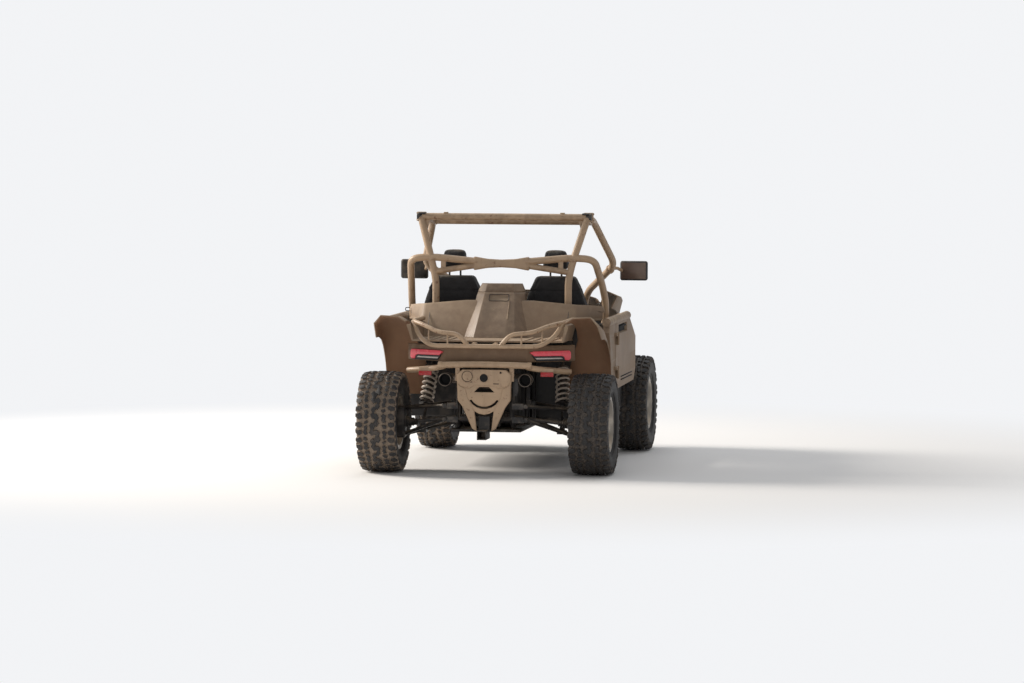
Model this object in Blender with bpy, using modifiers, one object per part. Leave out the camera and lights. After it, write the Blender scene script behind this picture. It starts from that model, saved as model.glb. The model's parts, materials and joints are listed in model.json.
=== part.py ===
# Dune buggy: a two-seat side-by-side off-road vehicle with an open tube cage,
# four steered or driven wheels on double wishbones, and an engine hump behind the seats.
# Metres, +Z up, +Y forward, +X to the vehicle's right. The origin is on the ground
# under the middle of the vehicle. Stations (names ending in _Y, and the y given to at())
# are measured forward from the rear axle.

import math

import bmesh
import bpy
from mathutils import Matrix, Vector

# Driving sizes
WHEELBASE = 2.25
FRONT_OVERHANG = 0.48
TRACK = 1.488
TYRE_RADIUS = 0.355
REAR_TYRE_WIDTH = 0.285
FRONT_TYRE_WIDTH = 0.255
BEAD_RADIUS = 0.178
WHEEL_STEPS = 32
SEAT_GAP = 0.0003
SLIVER = 0.00005

REAR_AXLE_Y = -(WHEELBASE + FRONT_OVERHANG - TYRE_RADIUS) / 2
WHEEL_X = TRACK / 2

# Cage
CAGE_TUBE = 0.0255
CAGE_BEND = 0.07
ROOF_Z = 1.775
ROOF_Y = 0.68
ROOF_X = 0.603
HEADER_Z = 1.735
HEADER_Y = 1.09
HEADER_X = 0.585
SHOULDER_Z = 1.455
SHOULDER_Y = 0.60
SHOULDER_X = 0.671
UPRIGHT_X = 0.476
HOOP_BAR_Z = 0.88
HOOP_FOOT_Z = 0.902

# Body
BULKHEAD_Y = 0.64
FOOTWELL_Y = WHEELBASE - 0.45
FIREWALL_Y = WHEELBASE - 0.26
SILL_TOP_Z = 0.54
SILL_X = 0.70
FOOTWELL_X = 0.43
TUB_WALL = 0.02
COWL_Z = 1.02
DECK_Z = 0.935
DECK_WALL = 0.012
DECK_REAR_Y = -0.095
WING_Z = 1.046
RACK_TUBE = 0.0155
RIM_Z = 1.19
FLANK_X = 0.80
DOOR_REAR_Y = 0.72
DOOR_FRONT_Y = FOOTWELL_Y + 0.02
DOOR_BOTTOM_Z = 0.55
DOOR_WALL = 0.045
DOOR_GAP = 0.008
BELT_Z = 1.045
BELT_RADIUS = 0.031

# Cage feet, which follow the footwell
COWL_FOOT = (0.46, FOOTWELL_Y - 0.05, 1.21)
COWL_END = (0.42, FOOTWELL_Y + 0.03, 1.12)
KINK = (0.70, HEADER_Y + 0.47 * (COWL_FOOT[1] - HEADER_Y), 1.415)

# Running gear
RAIL_X = 0.24
POST_X = 0.19
RAIL_Z = 0.33
FRAME_TUBE = 0.019
POST_TUBE = 0.0165
POST_TOP_Z = 0.745
FLOOR_Z = RAIL_Z + FRAME_TUBE + SEAT_GAP
OUTRIGGER_X = 0.60
OUTRIGGER_DEPTH = 0.031
BELLY_X = 0.25
BELLY_REAR_Y = -0.12
BELLY_LOW_Z = 0.298
BELLY_TOP_Z = 0.318
HITCH_HALF = 0.032
HITCH_WALL = 0.007
KINGPIN_X = WHEEL_X - 0.089
KINGPIN_LOW_Z = 0.2643
KINGPIN_TOP_Z = 0.4457
STEER_ARM = 0.10
SPINDLE_FACE = 0.02
CARRIER_FACE_X = WHEEL_X - 0.159
FRONT_BOOT_X = KINGPIN_X - 0.043
PIVOT_FACE_X = 0.27
UPPER_PIVOT_Z = 0.50
BARREL_RADIUS = 0.016
ARM_TUBE = 0.014
DRIVE_Z = 0.402
TRACK_ROD_Z = 0.385
TRACK_ROD_RADIUS = 0.010
EYE_HALF = 0.016
EYE_RADIUS = 0.018
SHOCK_BAR_RISE = 0.045
COIL_RADIUS = 0.045
COIL_WIRE = 0.008
COIL_TURNS = 7
SEAT_RADIUS = 0.0515

ARM_PIVOTS = (
    # where, station, z, x of the frame tube behind it
    ("rear lower", -0.13, 0.385, POST_X),
    ("rear lower", 0.45, RAIL_Z, RAIL_X),
    ("rear upper", -0.13, 0.48, POST_X),
    ("rear upper", 0.24, 0.48, RAIL_X),
    ("front lower", WHEELBASE - 0.14, RAIL_Z, RAIL_X),
    ("front lower", WHEELBASE + 0.14, RAIL_Z, RAIL_X),
    ("front upper", WHEELBASE - 0.14, UPPER_PIVOT_Z, RAIL_X),
    ("front upper", WHEELBASE + 0.24, UPPER_PIVOT_Z, RAIL_X),
)

SHOCKS = (
    # name, upper eye, lower eye, spring's lower end above the lower eye
    ("rear_shock", (CARRIER_FACE_X - 0.12, 0.42, 0.775), (CARRIER_FACE_X - 0.09, 0.19, 0.335), 0.15),
    (
        "front_shock",
        (KINGPIN_X - 0.31, WHEELBASE + 0.06, 0.805),
        (KINGPIN_X - 0.185, WHEELBASE + 0.06, 0.335),
        0.13,
    ),
)

STEERING_CENTRE = (-0.365, FOOTWELL_Y - 0.34, 1.06)
COLUMN_TILT = math.radians(32)
STEERING_WHEEL_RADIUS = 0.17


def at(x, y, z):
    return Vector((x, y + REAR_AXLE_Y, z))


def points_at(rows):
    return [at(*row) for row in rows]


# Scene set-up
def start_scene():
    for obj in list(bpy.data.objects):
        bpy.data.objects.remove(obj, do_unlink=True)
    for name in ("dune_buggy", "helpers"):
        collection = bpy.data.collections.new(name)
        bpy.context.scene.collection.children.link(collection)
    bpy.data.collections["helpers"].hide_render = True


def make_materials():
    table = (
        # name, colour, roughness, metallic
        ("tan_paint", (0.40, 0.31, 0.22), 0.55, 0.0),
        ("tan_plastic", (0.38, 0.29, 0.20), 0.6, 0.0),
        ("black_steel", (0.03, 0.03, 0.03), 0.5, 0.6),
        ("black_plastic", (0.035, 0.035, 0.04), 0.6, 0.0),
        ("rubber", (0.04, 0.037, 0.035), 0.85, 0.0),
        ("alloy", (0.45, 0.43, 0.40), 0.35, 0.9),
        ("spring_steel", (0.30, 0.27, 0.25), 0.45, 0.6),
        ("seat_fabric", (0.02, 0.02, 0.022), 0.8, 0.0),
        ("lamp_red", (0.6, 0.05, 0.05), 0.25, 0.0),
        ("lamp_clear", (0.8, 0.8, 0.8), 0.1, 0.0),
        ("engine_grey", (0.12, 0.12, 0.12), 0.5, 0.7),
        ("exhaust_steel", (0.25, 0.22, 0.20), 0.4, 0.9),
    )
    for name, colour, roughness, metallic in table:
        material = bpy.data.materials.new(name)
        material.use_nodes = True
        shader = material.node_tree.nodes["Principled BSDF"]
        shader.inputs["Base Color"].default_value = (*colour, 1.0)
        shader.inputs["Roughness"].default_value = roughness
        shader.inputs["Metallic"].default_value = metallic


# Helpers that wrap Blender's modelling tools
def add_object(mesh, name="piece"):
    obj = bpy.data.objects.new(name, mesh)
    bpy.data.collections["helpers"].objects.link(obj)
    return obj


def from_bmesh(bm):
    mesh = bpy.data.meshes.new("piece")
    bm.to_mesh(mesh)
    bm.free()
    return add_object(mesh)


def to_mesh_object(obj):
    """The evaluated object as a welded mesh with its world matrix applied."""
    bpy.context.view_layer.update()
    graph = bpy.context.evaluated_depsgraph_get()
    mesh = bpy.data.meshes.new_from_object(obj.evaluated_get(graph))
    mesh.transform(obj.matrix_world)
    bpy.data.objects.remove(obj, do_unlink=True)
    bm = bmesh.new()
    bm.from_mesh(mesh)
    bmesh.ops.remove_doubles(bm, verts=bm.verts, dist=1e-5)
    bmesh.ops.recalc_face_normals(bm, faces=bm.faces)
    return from_bmesh(bm)


def bevel_edges(bm, offset, segments=1, edges=None):
    bmesh.ops.bevel(
        bm,
        geom=list(edges or bm.edges),
        offset=offset,
        segments=segments,
        profile=0.5,
        affect="EDGES",
        clamp_overlap=True,
    )


def box(low, high, bevel=0.0, segments=1):
    low, high = at(*low), at(*high)
    bm = bmesh.new()
    bmesh.ops.create_cube(bm, size=1.0)
    bmesh.ops.scale(bm, vec=high - low, verts=bm.verts)
    bmesh.ops.translate(bm, vec=(high + low) / 2, verts=bm.verts)
    if bevel:
        bevel_edges(bm, bevel, segments)
    return from_bmesh(bm)


def rod(start, end, radius, sides=12, end_radius=None):
    """A cylinder, or a cone with end_radius, between two points in part coordinates."""
    start, end = Vector(start), Vector(end)
    along = end - start
    bm = bmesh.new()
    bmesh.ops.create_cone(
        bm,
        cap_ends=True,
        segments=sides,
        radius1=radius,
        radius2=radius if end_radius is None else end_radius,
        depth=along.length,
    )
    turn = along.to_track_quat("Z", "Y").to_matrix().to_4x4()
    matrix = Matrix.Translation((start + end) / 2) @ turn
    bmesh.ops.transform(bm, matrix=matrix, verts=bm.verts)
    return from_bmesh(bm)


def rounded_path(points, bend, steps=3):
    """The polyline with each inner corner replaced by a short arc."""
    path = [points[0]]
    for before, corner, after in zip(points, points[1:], points[2:]):
        reach = min(bend, (corner - before).length / 2.2, (after - corner).length / 2.2)
        enter = corner + (before - corner).normalized() * reach
        leave = corner + (after - corner).normalized() * reach
        for step in range(steps + 1):
            t = step / steps
            path.append((1 - t) ** 2 * enter + 2 * t * (1 - t) * corner + t * t * leave)
    path.append(points[-1])
    return path


def wire(path, radius, resolution=1, ring=False):
    """A round section swept along a path, open with capped ends or closed into a ring."""
    curve = bpy.data.curves.new("wire", "CURVE")
    curve.dimensions = "3D"
    curve.bevel_depth = radius
    curve.bevel_resolution = resolution
    curve.use_fill_caps = not ring
    spline = curve.splines.new("POLY")
    spline.points.add(len(path) - 1)
    spline.use_cyclic_u = ring
    for point, place in zip(spline.points, path):
        point.co = (*place, 1.0)
    return to_mesh_object(add_object(curve))


def tube(points, radius, bend=CAGE_BEND, resolution=3, steps=2):
    """A bent tube: a curve with a round bevel and filled caps."""
    return wire(rounded_path(points, bend, steps), radius, resolution)


PLANES = {
    # plane name: matrix from the outline's own plane to the part's
    "XY": Matrix.Identity(3),
    "XZ": Matrix(((1, 0, 0), (0, 0, -1), (0, 1, 0))),
    "YZ": Matrix(((0, 0, 1), (1, 0, 0), (0, 1, 0))),
}


def prism(outline, plane, low, high, holes=()):
    """A flat outline, with holes, given thickness from low to high across its plane.
    Y coordinates, in the outline or across it, are stations ahead of the rear axle."""
    curve = bpy.data.curves.new("outline", "CURVE")
    curve.dimensions = "2D"
    curve.fill_mode = "BOTH"
    curve.extrude = (high - low) / 2
    for loop in (outline, *holes):
        spline = curve.splines.new("POLY")
        spline.points.add(len(loop) - 1)
        spline.use_cyclic_u = True
        for point, (u, v) in zip(spline.points, loop):
            point.co = (u, v, 0.0, 1.0)
    obj = add_object(curve)
    turn = PLANES[plane]
    middle = turn.col[2] * (high + low) / 2
    if plane == "XZ":
        middle = -middle
    obj.matrix_world = Matrix.Translation(middle + at(0, 0, 0)) @ turn.to_4x4()
    return to_mesh_object(obj)


def circle(centre, radius, count=16, start=0.0, sweep=math.tau):
    full = abs(sweep - math.tau) < 1e-6
    last = count if full else count - 1
    return [
        (
            centre[0] + radius * math.cos(start + sweep * i / last),
            centre[1] + radius * math.sin(start + sweep * i / last),
        )
        for i in range(count)
    ]


def mirror_outline(half):
    """A half outline from the middle line to the middle line, closed by its mirror image."""
    return list(half) + [(-u, v) for u, v in reversed(half) if abs(u) > 1e-6]


def lathe(profile, centre, steps, start=0.0):
    """A closed (across, radius) profile turned about an axle along X with a Screw modifier."""
    mesh = bpy.data.meshes.new("profile")
    count = len(profile)
    mesh.from_pydata(
        [(radius, 0.0, across) for across, radius in profile],
        [(i, (i + 1) % count) for i in range(count)],
        [],
    )
    obj = add_object(mesh)
    screw = obj.modifiers.new("Turn", "SCREW")
    screw.axis = "Z"
    screw.steps = screw.render_steps = steps
    screw.use_merge_vertices = True
    screw.merge_threshold = 1e-5
    turn = Matrix.Rotation(start, 4, "X") @ Matrix.Rotation(math.radians(90), 4, "Y")
    obj.matrix_world = Matrix.Translation(centre) @ turn
    return to_mesh_object(obj)


def loft(rows, thickness=0.0, offset=-1.0, closed=False, mirror=False):
    """Quads between rows of points. A sheet gets its wall from Solidify."""
    bm = bmesh.new()
    grid = [[bm.verts.new(point) for point in row] for row in rows]
    span = len(rows[0]) if closed else len(rows[0]) - 1
    for row, after in zip(grid, grid[1:]):
        for i in range(span):
            j = (i + 1) % len(row)
            bm.faces.new((row[i], row[j], after[j], after[i]))
    if closed:
        bm.faces.new(list(reversed(grid[0])))
        bm.faces.new(grid[-1])
    bmesh.ops.recalc_face_normals(bm, faces=bm.faces)
    obj = from_bmesh(bm)
    if mirror:
        modifier = obj.modifiers.new("Both sides", "MIRROR")
        modifier.merge_threshold = 1e-5
    if thickness:
        wall = obj.modifiers.new("Wall", "SOLIDIFY")
        wall.thickness = thickness
        wall.offset = offset
        wall.use_even_offset = True
    return to_mesh_object(obj)


def boolean(base, others, operation):
    """Joins or cuts base with every other object at once."""
    group = bpy.data.collections.new("operands")
    bpy.data.collections["helpers"].children.link(group)
    for other in others:
        bpy.data.collections["helpers"].objects.unlink(other)
        group.objects.link(other)
    modifier = base.modifiers.new("Join", "BOOLEAN")
    modifier.operation = operation
    modifier.operand_type = "COLLECTION"
    modifier.collection = group
    modifier.solver = "EXACT"
    result = to_mesh_object(base)
    bm = bmesh.new()
    bm.from_mesh(result.data)
    bmesh.ops.dissolve_degenerate(bm, dist=SLIVER, edges=bm.edges)
    if all(edge.is_manifold for edge in bm.edges):
        bm.to_mesh(result.data)
    bm.free()
    for other in others:
        bpy.data.objects.remove(other, do_unlink=True)
    bpy.data.collections.remove(group)
    return result


def joined(pieces):
    return boolean(pieces[0], pieces[1:], "UNION") if len(pieces) > 1 else pieces[0]


def cut(base, cutters):
    return boolean(base, cutters, "DIFFERENCE")


def mirrored(obj):
    """A copy on the other side of the vehicle."""
    bm = bmesh.new()
    bm.from_mesh(obj.data)
    bmesh.ops.scale(bm, vec=(-1, 1, 1), verts=bm.verts)
    bmesh.ops.reverse_faces(bm, faces=bm.faces)
    return from_bmesh(bm)


def across(rows):
    """A path that runs from its left end to its right end, mirrored about the middle."""
    return points_at([(-x, y, z) for x, y, z in reversed(rows)] + list(rows))


def both(pieces):
    return [*pieces, *[mirrored(piece) for piece in pieces]]


def node(obj, name, material, origin=None, smooth=35):
    """Names a finished piece, gives it its material and puts it with the vehicle."""
    obj.name = name
    obj.data.name = name
    obj.data.materials.clear()
    obj.data.materials.append(bpy.data.materials[material])
    obj.data.shade_smooth()
    obj.data.set_sharp_from_angle(angle=math.radians(smooth))
    if origin is not None:
        obj.data.transform(Matrix.Translation(-origin))
        obj.location = origin
    bpy.data.collections["helpers"].objects.unlink(obj)
    bpy.data.collections["dune_buggy"].objects.link(obj)
    return obj


def node_pair(obj, name, material, origin=None, smooth=35):
    """The right piece and its mirror image on the left."""
    other = mirrored(obj)
    left = None if origin is None else Vector((-origin.x, origin.y, origin.z))
    node(obj, name + "_right", material, origin, smooth)
    node(other, name + "_left", material, left, smooth)


def clevis(eye, low_z, high_z):
    """Two plates that hold a shock's eye between them."""
    x, y, _ = eye
    inner = EYE_HALF + SEAT_GAP
    return [
        box((x - 0.016, y + inner, low_z), (x + 0.016, y + inner + 0.006, high_z)),
        box((x - 0.016, y - inner - 0.006, low_z), (x + 0.016, y - inner, high_z)),
    ]


# Frame: two main rails, sill rails, towers over both axles, belly plate, hitch receiver
def make_frame():
    front_y = WHEELBASE + 0.24
    fire_y = FIREWALL_Y + 0.04
    rails = (
        (
            (RAIL_X, front_y, RAIL_Z),
            (RAIL_X, 0.02, RAIL_Z),
            (POST_X, -0.13, RAIL_Z),
            (POST_X, -0.13, POST_TOP_Z),
            (RAIL_X, 0.02, 0.785),
            (RAIL_X, 0.52, 0.84),
            (RAIL_X, 0.59, 0.875),
        ),
        ((RAIL_X, front_y, RAIL_Z), (RAIL_X, front_y, 0.82), (RAIL_X, fire_y, 0.90)),
    )
    posts = (
        ((RAIL_X, fire_y, 0.905), (RAIL_X, fire_y, RAIL_Z)),
        ((RAIL_X, 0.53, 0.85), (RAIL_X, 0.53, RAIL_Z)),
        ((RAIL_X, 0.24, 0.81), (RAIL_X, 0.24, RAIL_Z)),
        ((RAIL_X, WHEELBASE - 0.14, 0.885), (RAIL_X, WHEELBASE - 0.14, RAIL_Z)),
        ((RAIL_X, WHEELBASE + 0.14, 0.835), (RAIL_X, WHEELBASE + 0.14, RAIL_Z)),
    )
    side = [tube(points_at(rows), FRAME_TUBE, 0.05, 1, 2) for rows in rails]
    side += [tube(points_at(rows), POST_TUBE, 0.05, 1, 2) for rows in posts]
    side += [
        box((pad_x, y - 0.02, z - 0.02), (PIVOT_FACE_X, y + 0.02, z + 0.02))
        for _, y, z, pad_x in ARM_PIVOTS
    ]
    for _, upper, _, _ in SHOCKS:
        side += clevis(upper, upper[2] - 0.006, upper[2] + SHOCK_BAR_RISE)
    side.append(box((0.17, -0.125, POST_TOP_Z), (0.21, -0.085, FASCIA_LOW_Z - SEAT_GAP)))
    hoop_y = SHOULDER_Y - 0.01
    side.append(
        box((UPRIGHT_X - 0.03, hoop_y - 0.03, HOOP_BAR_Z), (UPRIGHT_X + 0.03, hoop_y + 0.03, HOOP_FOOT_Z))
    )
    side.append(box((0.22, 0.10, 0.78), (0.26, 0.14, DECK_Z - DECK_WALL - SEAT_GAP)))
    crossings = [
        tube(points_at(((-x, y, z), (x, y, z))), FRAME_TUBE, 0.05, 1)
        for x, y, z in (
            (POST_X, -0.13, RAIL_Z + 0.06),
            (POST_X + 0.005, -0.13, 0.60),
            (SHOCKS[0][1][0] + 0.035, SHOCKS[0][1][1], SHOCKS[0][1][2] + SHOCK_BAR_RISE),
            (0.505, SHOULDER_Y - 0.01, HOOP_BAR_Z),
            (RAIL_X, front_y, RAIL_Z),
            (RAIL_X, front_y, 0.70),
            (SHOCKS[1][1][0] + 0.03, SHOCKS[1][1][1], SHOCKS[1][1][2] + SHOCK_BAR_RISE),
        )
    ]
    belly = box((-BELLY_X, BELLY_REAR_Y, BELLY_LOW_Z), (BELLY_X, front_y, BELLY_TOP_Z), 0.004)
    outriggers = [
        box(
            (-OUTRIGGER_X, y - 0.02, FLOOR_Z - OUTRIGGER_DEPTH),
            (OUTRIGGER_X, y + 0.02, FLOOR_Z - SEAT_GAP),
        )
        for y in (BULKHEAD_Y + 0.10, FOOTWELL_Y - 0.10)
    ]
    frame = joined([*both(side), *crossings, *outriggers, belly])
    node(frame, "frame", "black_steel")

    low_z = BELLY_TOP_Z + 0.001 - 2 * HITCH_HALF
    receiver = joined(
        [
            box((-HITCH_HALF, -0.30, low_z), (HITCH_HALF, BELLY_REAR_Y - SEAT_GAP, low_z + 2 * HITCH_HALF)),
            box((-0.042, -0.185, BELLY_TOP_Z - 0.01), (0.042, -0.149 - SEAT_GAP, 0.415), 0.004),
        ]
    )
    socket = box(
        (HITCH_WALL - HITCH_HALF, -0.32, low_z + HITCH_WALL),
        (HITCH_HALF - HITCH_WALL, -0.145, low_z + 2 * HITCH_HALF - HITCH_WALL),
    )
    node(cut(receiver, [socket]), "hitch_receiver", "black_steel")


# Cage: a hoop behind the seats, and a bolted front section over the doors
def make_cage():
    upright = tube(
        points_at(
            (
                (ROOF_X, ROOF_Y, ROOF_Z + 0.005),
                (0.505, SHOULDER_Y - 0.01, SHOULDER_Z),
                (UPRIGHT_X, SHOULDER_Y - 0.01, 1.33),
                (UPRIGHT_X, SHOULDER_Y - 0.01, HOOP_FOOT_Z + SEAT_GAP),
            )
        ),
        CAGE_TUBE,
    )
    shoulder = tube(
        points_at(
            (
                (0.17, SHOULDER_Y - 0.03, SHOULDER_Z + 0.005),
                (0.50, SHOULDER_Y, SHOULDER_Z + 0.035),
                (SHOULDER_X - 0.01, SHOULDER_Y, SHOULDER_Z + 0.025),
                (SHOULDER_X + 0.02, 0.80, 1.29),
                (0.705, 0.90, 1.15),
                (0.672, 0.90, 0.70),
                (0.672, 0.90, SILL_TOP_Z + SEAT_GAP),
            )
        ),
        CAGE_TUBE,
        0.09,
    )
    lower_brace = tube(
        points_at(((0.17, SHOULDER_Y - 0.03, SHOULDER_Z - 0.02), (0.49, SHOULDER_Y - 0.01, 1.385))),
        0.021,
    )
    gusset_half = [
        (0.0, SHOULDER_Z + 0.02),
        (0.10, SHOULDER_Z + 0.025),
        (0.20, SHOULDER_Z + 0.042),
        (0.20, SHOULDER_Z - 0.058),
        (0.10, SHOULDER_Z - 0.040),
        (0.0, SHOULDER_Z - 0.035),
    ]
    gusset = prism(
        mirror_outline(gusset_half), "XZ", SHOULDER_Y - 0.048, SHOULDER_Y - 0.012
    )
    roof_bar = tube(points_at(((-ROOF_X, ROOF_Y, ROOF_Z), (ROOF_X, ROOF_Y, ROOF_Z))), CAGE_TUBE)
    hoop = joined([*both([upright, shoulder, lower_brace]), gusset, roof_bar])
    node(hoop, "cage_hoop", "tan_paint")

    rail_start = ROOF_Y + CAGE_TUBE + 0.012
    front_rail = tube(
        points_at(
            (
                (ROOF_X, rail_start, ROOF_Z - 0.003),
                (HEADER_X, HEADER_Y, HEADER_Z),
                KINK,
                COWL_FOOT,
                COWL_END,
                (COWL_END[0], COWL_END[1], COWL_Z + SEAT_GAP),
            )
        ),
        CAGE_TUBE,
        0.08,
    )
    header = tube(
        points_at(((-HEADER_X, HEADER_Y, HEADER_Z), (HEADER_X, HEADER_Y, HEADER_Z))), CAGE_TUBE
    )
    clamp = box(
        (ROOF_X - 0.033, ROOF_Y + CAGE_TUBE + SEAT_GAP, ROOF_Z - 0.033),
        (ROOF_X + 0.033, rail_start + 0.02, ROOF_Z + 0.033),
        0.006,
    )
    front = joined([*both([front_rail, clamp]), header])
    node(front, "cage_front", "tan_paint")


# Cab tub: floor, sills, footwell, firewall, seat bulkhead and tunnel
def make_tub():
    def plan(inset):
        side, foot = SILL_X - inset, FOOTWELL_X - inset
        return [
            (side, BULKHEAD_Y + inset),
            (side, FOOTWELL_Y - inset),
            (foot, FOOTWELL_Y - inset),
            (foot, FIREWALL_Y - inset),
            (-foot, FIREWALL_Y - inset),
            (-foot, FOOTWELL_Y - inset),
            (-side, FOOTWELL_Y - inset),
            (-side, BULKHEAD_Y + inset),
        ]

    tub = prism(plan(0.0), "XY", FLOOR_Z, COWL_Z)
    inside = prism(plan(TUB_WALL), "XY", FLOOR_Z + TUB_WALL, COWL_Z + 0.1)
    door_ways = box(
        (-1, BULKHEAD_Y + 0.20, SILL_TOP_Z), (1, FOOTWELL_Y - TUB_WALL - 0.03, COWL_Z + 0.1)
    )
    tub = cut(tub, [inside, door_ways])
    tunnel = box(
        (-0.085, BULKHEAD_Y + 0.01, FLOOR_Z + 0.01), (0.085, FIREWALL_Y - 0.01, 0.50), 0.02
    )
    tub = joined([tub, tunnel])
    node(tub, "cab_tub", "black_plastic")


# Rear deck: the sheet behind the seats, its side wings and the cargo floor
def make_deck():
    table = (
        # x, rim station, rim z, slope foot station, slope foot z, rear edge station
        (0.0, 0.50, RIM_Z, 0.335, DECK_Z, DECK_REAR_Y),
        (0.24, 0.50, RIM_Z, 0.335, DECK_Z, DECK_REAR_Y),
        (0.525, 0.50, RIM_Z - 0.025, 0.37, DECK_Z, DECK_REAR_Y + 0.04),
        (0.545, 0.51, RIM_Z - 0.027, 0.43, WING_Z - 0.001, DECK_REAR_Y + 0.04),
        (0.553, 0.52, RIM_Z - 0.028, 0.44, WING_Z, 0.40),
        (0.60, 0.60, RIM_Z - 0.033, 0.56, 1.06, 0.50),
        (0.697, 0.81, RIM_Z - 0.05, 0.79, 1.05, 0.75),
    )
    rows = []
    for x, rim_y, rim_z, foot_y, foot_z, rear_y in table:
        rows.append(
            points_at(
                (
                    (x, rim_y + 0.035, rim_z - 0.012),
                    (x, rim_y, rim_z),
                    (x, rim_y - 0.02, rim_z - 0.015),
                            (x, foot_y, foot_z),
                    (x, rear_y, foot_z),
                )
            )
        )
    deck = loft(rows, DECK_WALL, 1.0, mirror=True)
    node(deck, "rear_deck", "tan_plastic")


def make_engine_cover():
    table = (
        # z, half width, front station, chamfer station, rear half width, rear station
        (DECK_Z - 0.05, 0.236, 0.46, 0.29, 0.153, 0.19),
        (1.255, 0.166, 0.62, 0.565, 0.105, 0.495),
        (1.305, 0.145, 0.62, 0.60, 0.095, 0.535),
    )
    rows = []
    for z, half, front_y, chamfer_y, rear_half, rear_y in table:
        rows.append(
            points_at(
                (
                    (half, front_y, z),
                    (half, chamfer_y, z),
                    (rear_half, rear_y, z),
                    (-rear_half, rear_y, z),
                    (-half, chamfer_y, z),
                    (-half, front_y, z),
                )
            )
        )
    cover = loft(rows, closed=True)
    below_deck = prism(
        [
            (0.0, 0.85),
            (0.0, DECK_Z + SEAT_GAP),
            (0.335 - SEAT_GAP, DECK_Z + SEAT_GAP),
            (0.48 - SEAT_GAP, RIM_Z - 0.015 + SEAT_GAP),
            (0.50, RIM_Z + SEAT_GAP * 1.5),
            (0.535, RIM_Z - 0.012 + SEAT_GAP * 1.5),
            (0.70, RIM_Z - 0.012 + SEAT_GAP * 1.5),
            (0.70, 0.85),
        ],
        "YZ",
        -0.4,
        0.4,
    )
    node(cut(cover, [below_deck]), "engine_cover", "tan_plastic", smooth=20)


# Tail: fascia band with lamps, bumper tube, guard plate, rack
FASCIA_PLAN = ((0.0, -0.135), (0.29, -0.10), (0.59, 0.115))
FASCIA_LOW_Z = 0.785
FASCIA_HIGH_Z = 0.900
LAMP_LOW_Z = 0.792
LAMP_HIGH_Z = 0.862
FASCIA_WALL = 0.03


def make_fascia():
    outer = [*FASCIA_PLAN]
    inner = [(x, y + FASCIA_WALL * 1.15) for x, y in reversed(FASCIA_PLAN)]
    half = outer + inner
    band = prism(mirror_outline(half), "XY", FASCIA_LOW_Z, FASCIA_HIGH_Z)
    node(band, "rear_fascia", "tan_plastic")

    inboard, outboard = Vector(FASCIA_PLAN[1]), Vector(FASCIA_PLAN[2])
    along = (outboard - inboard).normalized()
    out = Vector((along.y, -along.x))
    near = inboard + along * 0.015 + out * SEAT_GAP
    far = inboard + along * 0.335 + out * SEAT_GAP
    lamp = prism(
        [tuple(near), tuple(near + out * 0.014), tuple(far + out * 0.014), tuple(far)],
        "XY",
        LAMP_LOW_Z,
        LAMP_HIGH_Z,
    )
    node_pair(lamp, "tail_lamp", "lamp_red")


def make_rear_bumper():
    bar = tube(
        points_at(
            (
                (-0.32, -0.155, 0.765),
                (-0.12, -0.175, 0.771),
                (0.12, -0.175, 0.771),
                (0.32, -0.155, 0.765),
            )
        ),
        0.0225,
        0.08,
        2,
    )
    arm = tube(
        points_at(((0.28, -0.150, 0.757), (0.36, -0.11, 0.740), (0.575, 0.03, 0.715))), 0.02, 0.05, 1
    )
    bracket = box((0.174, -0.1717, 0.655), (0.206, -0.149 - SEAT_GAP, 0.77))
    reflector = box((0.385, -0.112, 0.69), (0.475, -0.06, 0.748), 0.004)
    bumper = joined([bar, *both([arm, bracket, reflector])])
    node(bumper, "rear_bumper", "tan_paint")


def make_guard():
    half = [
        (0.0, 0.738),
        (0.155, 0.736),
        (0.195, 0.700),
        (0.190, 0.635),
        (0.185, 0.522),
        (0.150, 0.475),
        (0.083, 0.325),
        (0.050, 0.307),
        (0.068, 0.448),
        (0.035, 0.430),
        (0.0, 0.423),
    ]
    window = [(-0.072, 0.580), (0.072, 0.580), (0.035, 0.616), (-0.035, 0.616)]
    smile = circle((0.0, 0.585), 0.122, 8, math.radians(212), math.radians(116))
    smile += circle((0.0, 0.585), 0.106, 8, math.radians(328), math.radians(-116))
    holes = [window, smile, circle((0.0, 0.680), 0.028, 12)]
    guard = prism(mirror_outline(half), "XZ", -0.192, -0.172, holes)
    stay = box((0.13, -0.173, 0.58), (0.17, -0.149 - SEAT_GAP, 0.62))
    node(joined([guard, *both([stay])]), "rear_guard", "tan_paint")


def make_rack():
    wing_z = WING_Z + SEAT_GAP + RACK_TUBE
    lower = tube(
        across(
            (
                (0.12, -0.19, 0.900),
                (0.385, -0.165, 0.900),
                (0.47, -0.10, 0.955),
                (0.535, 0.0, wing_z),
            )
        ),
        RACK_TUBE,
        0.06,
        1,
        2,
    )
    upper = tube(
        points_at(
            (
                (0.113, -0.188, 0.900),
                (0.181, -0.19, 0.983),
                (0.33, -0.165, 0.995),
                (0.445, -0.10, 1.042),
                (0.535, 0.0, wing_z),
                (0.533, 0.40, wing_z),
            )
        ),
        RACK_TUBE,
        0.05,
        1,
        2,
    )
    post = box((0.06, -0.125, FASCIA_HIGH_Z + SEAT_GAP), (0.09, -0.105, 0.922))
    foot = box((0.06, -0.190, 0.907), (0.09, -0.105, 0.922))
    node(joined([lower, *both([upper, foot, post])]), "cargo_rack", "tan_paint")


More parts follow.
